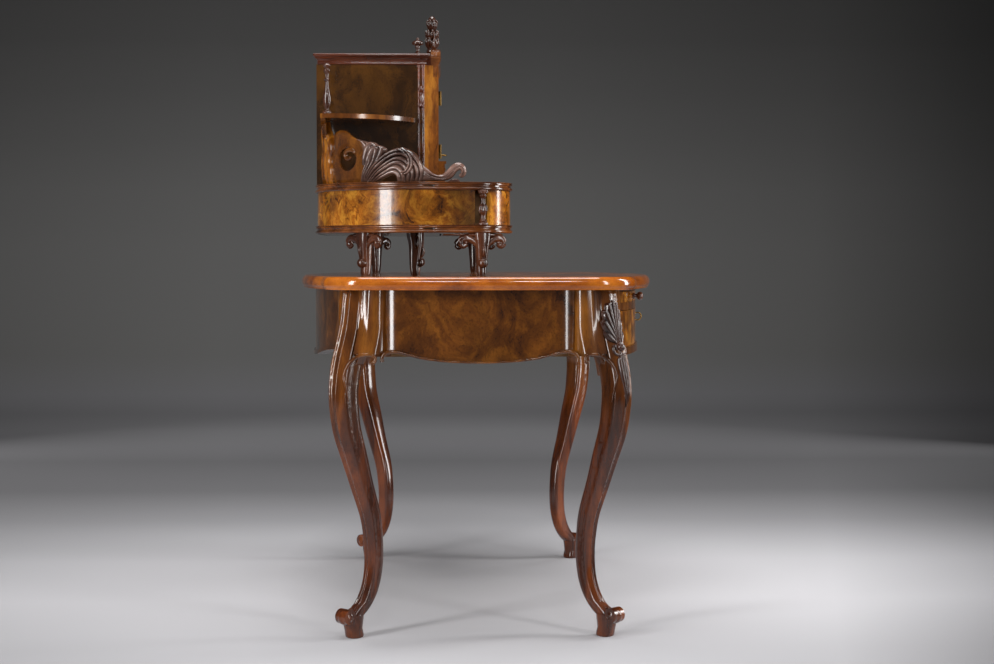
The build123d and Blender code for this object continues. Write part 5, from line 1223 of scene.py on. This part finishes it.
WHORL_RINGS = (((247.0, 965.0), (234.0, 989.0), (218.0, 1009.0), (200.0, 1024.0), (182.0, 1033.0),
                (165.0, 1035.0), (148.0, 1030.0), (133.0, 1019.0), (122.0, 1001.0), (117.0, 982.0),
                (120.0, 964.0)),
               ((240.0, 965.0), (224.0, 985.0), (206.0, 1001.0), (190.0, 1012.0), (174.0, 1018.0),
                (159.0, 1015.0), (147.0, 1005.0), (139.0, 992.0), (136.0, 978.0), (139.0, 964.0)),
               ((231.0, 964.0), (214.0, 979.0), (198.0, 990.0), (184.0, 998.0), (172.0, 998.0),
                (162.0, 990.0), (156.0, 978.0), (157.0, 964.0)),
               ((218.0, 964.0), (205.0, 970.0), (194.0, 975.0), (184.0, 978.0), (177.0, 974.0),
                (175.0, 964.0)))
WHORL_FOLD = (((178.0, 1033.0), (164.0, 1026.0), (154.0, 1014.0), (152.0, 1000.0), (158.0, 988.0),
               (168.0, 983.0)),
              ((160.0, 1035.0), (146.0, 1024.0), (139.0, 1008.0), (140.0, 992.0), (149.0, 979.0),
               (162.0, 974.0)))
TAIL = (((124.0, 1000.0), (110.0, 990.0), (96.0, 979.0), (82.0, 976.0), (68.0, 984.0), (56.0, 996.0),
         (43.0, 1001.0), (33.0, 995.0), (29.0, 984.0), (33.0, 974.0), (40.0, 971.0)),
        ((124.0, 964.0), (104.0, 964.0), (84.0, 964.0), (66.0, 966.0), (54.0, 974.0), (48.0, 983.0),
         (42.0, 987.0), (38.0, 986.0), (36.5, 982.0), (38.0, 979.0), (41.0, 978.0)))
TAIL_FOLD = (((118.0, 985.0), (100.0, 973.0), (84.0, 969.0), (70.0, 974.0), (60.0, 984.0), (50.0, 993.0)),
             ((118.0, 975.0), (100.0, 967.0), (84.0, 964.0), (70.0, 967.0), (58.0, 976.0), (50.0, 986.0)))
TAIL_CURL = ((92.0, 972.0), (76.0, 974.0), (64.0, 983.0), (54.0, 993.0), (43.0, 997.0), (35.0, 992.0),
             (32.5, 983.0), (36.0, 975.5), (42.0, 977.5))
TAIL_CURL_OUT = 1.0
TAIL_CURL_RADII = (3.0, 5.0, 6.0, 6.4, 6.4, 6.2, 6.0, 5.0, 3.6)

# Paler, lilac tones than the other carved walnut: partly the wood's own tone, partly painted highlight on the
# leaves.
polished_wood("leaf_walnut_painted_highlight", ((52, 32, 26), (94, 66, 56), (140, 108, 96)), ALONG_Y,
              rough=(0.13, 0.24), gloss=0.8)


def gallery_place(side):
    """From a place seen square from the end and a height to a point on the band's outer face."""
    def place(across, high, out):
        reach = BAND_RADIUS + out
        if across <= BAND_CENTRE[1]:
            return (side * (BAND_CENTRE[0] + reach), across, high)
        turn = math.asin(min(BAND_FURTHEST, (across - BAND_CENTRE[1]) / BAND_RADIUS))
        x, y = BAND_CENTRE[0] + reach * math.cos(turn), BAND_CENTRE[1] + reach * math.sin(turn)
        return (side * x, y, high)
    return place


def pierced_plank(place):
    """The plank between its sawn edge and its oval eye, rounded over at both."""
    edge = smooth_line(PLANK_FOOT + PLANK_SAWN + PLANK_FOOT[:1], 4)[:-1]
    rings = []
    for ring in range(PLANK_RINGS + 1):
        share = ring / PLANK_RINGS
        rings.append([])
        for across, high in edge:
            turn = math.atan2((high - EYE_MIDDLE[1]) / EYE_HALF[1], (across - EYE_MIDDLE[0]) / EYE_HALF[0])
            rim = (EYE_MIDDLE[0] + EYE_HALF[0] * math.cos(turn), EYE_MIDDLE[1] + EYE_HALF[1] * math.sin(turn))
            rings[-1].append((rim[0] + (across - rim[0]) * share, rim[1] + (high - rim[1]) * share))
    outs = [-PLANK_ROUNDING] + [0.0] * (PLANK_RINGS - 1) + [-PLANK_ROUNDING]
    points = []
    for ring, out in zip(rings, outs):
        points += [place(across, high, out) for across, high in ring]
    for ring, out in zip(reversed(rings), outs):
        points += [place(across, high, -BAND_THICK - out) for across, high in ring]
    return points, grid(2 * len(rings), len(edge), round_rows=True, round_columns=True), None


for side_name, side in (("left", -1), ("right", 1)):
    place = gallery_place(side)
    eye_scroll = tube([place(across, high, -EYE_CURL_IN) for across, high in EYE_CURL], EYE_CURL_RADII)
    plank = piece("gallery_plank_" + side_name, [pierced_plank(place), eye_scroll],
                  "cabinet_veneer", "apron_veneer")
    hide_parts("gallery_planks")
    piece("gallery_wing_ribs_" + side_name, [ruled_leaf(place, *WING_RIBS, ribs=3, rise=9.0, thick=7.0)],
          "apron_veneer", "pilaster_veneer")
    blades = [ruled_leaf(place, *FIRST_LEAF, ribs=4, rise=9.0, thick=9.0, curl=2.0),
              ruled_leaf(place, *FIRST_FOLD, ribs=2, rise=8.0, thick=4.0, lift=4.0)]
    for ring, edges in enumerate(zip(WHORL_RINGS, WHORL_RINGS[1:])):
        blades.append(ruled_leaf(place, *edges, ribs=2, rise=11.0 - ring, thick=9.0, curl=1.0))
    blades.append(ruled_leaf(place, *WHORL_FOLD, ribs=2, rise=8.0, thick=4.0, lift=6.0))
    blades.append(ruled_leaf(place, *TAIL, ribs=2, rise=8.0, thick=9.0, curl=3.0))
    blades.append(ruled_leaf(place, *TAIL_FOLD, ribs=2, rise=5.0, thick=3.0, lift=4.0))
    blades.append(tube([place(across, high, TAIL_CURL_OUT) for across, high in TAIL_CURL], TAIL_CURL_RADII))
    leaves = piece("gallery_leaves_" + side_name, blades, "carved_walnut", "leaf_walnut_painted_highlight")
    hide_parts("gallery_leaves")
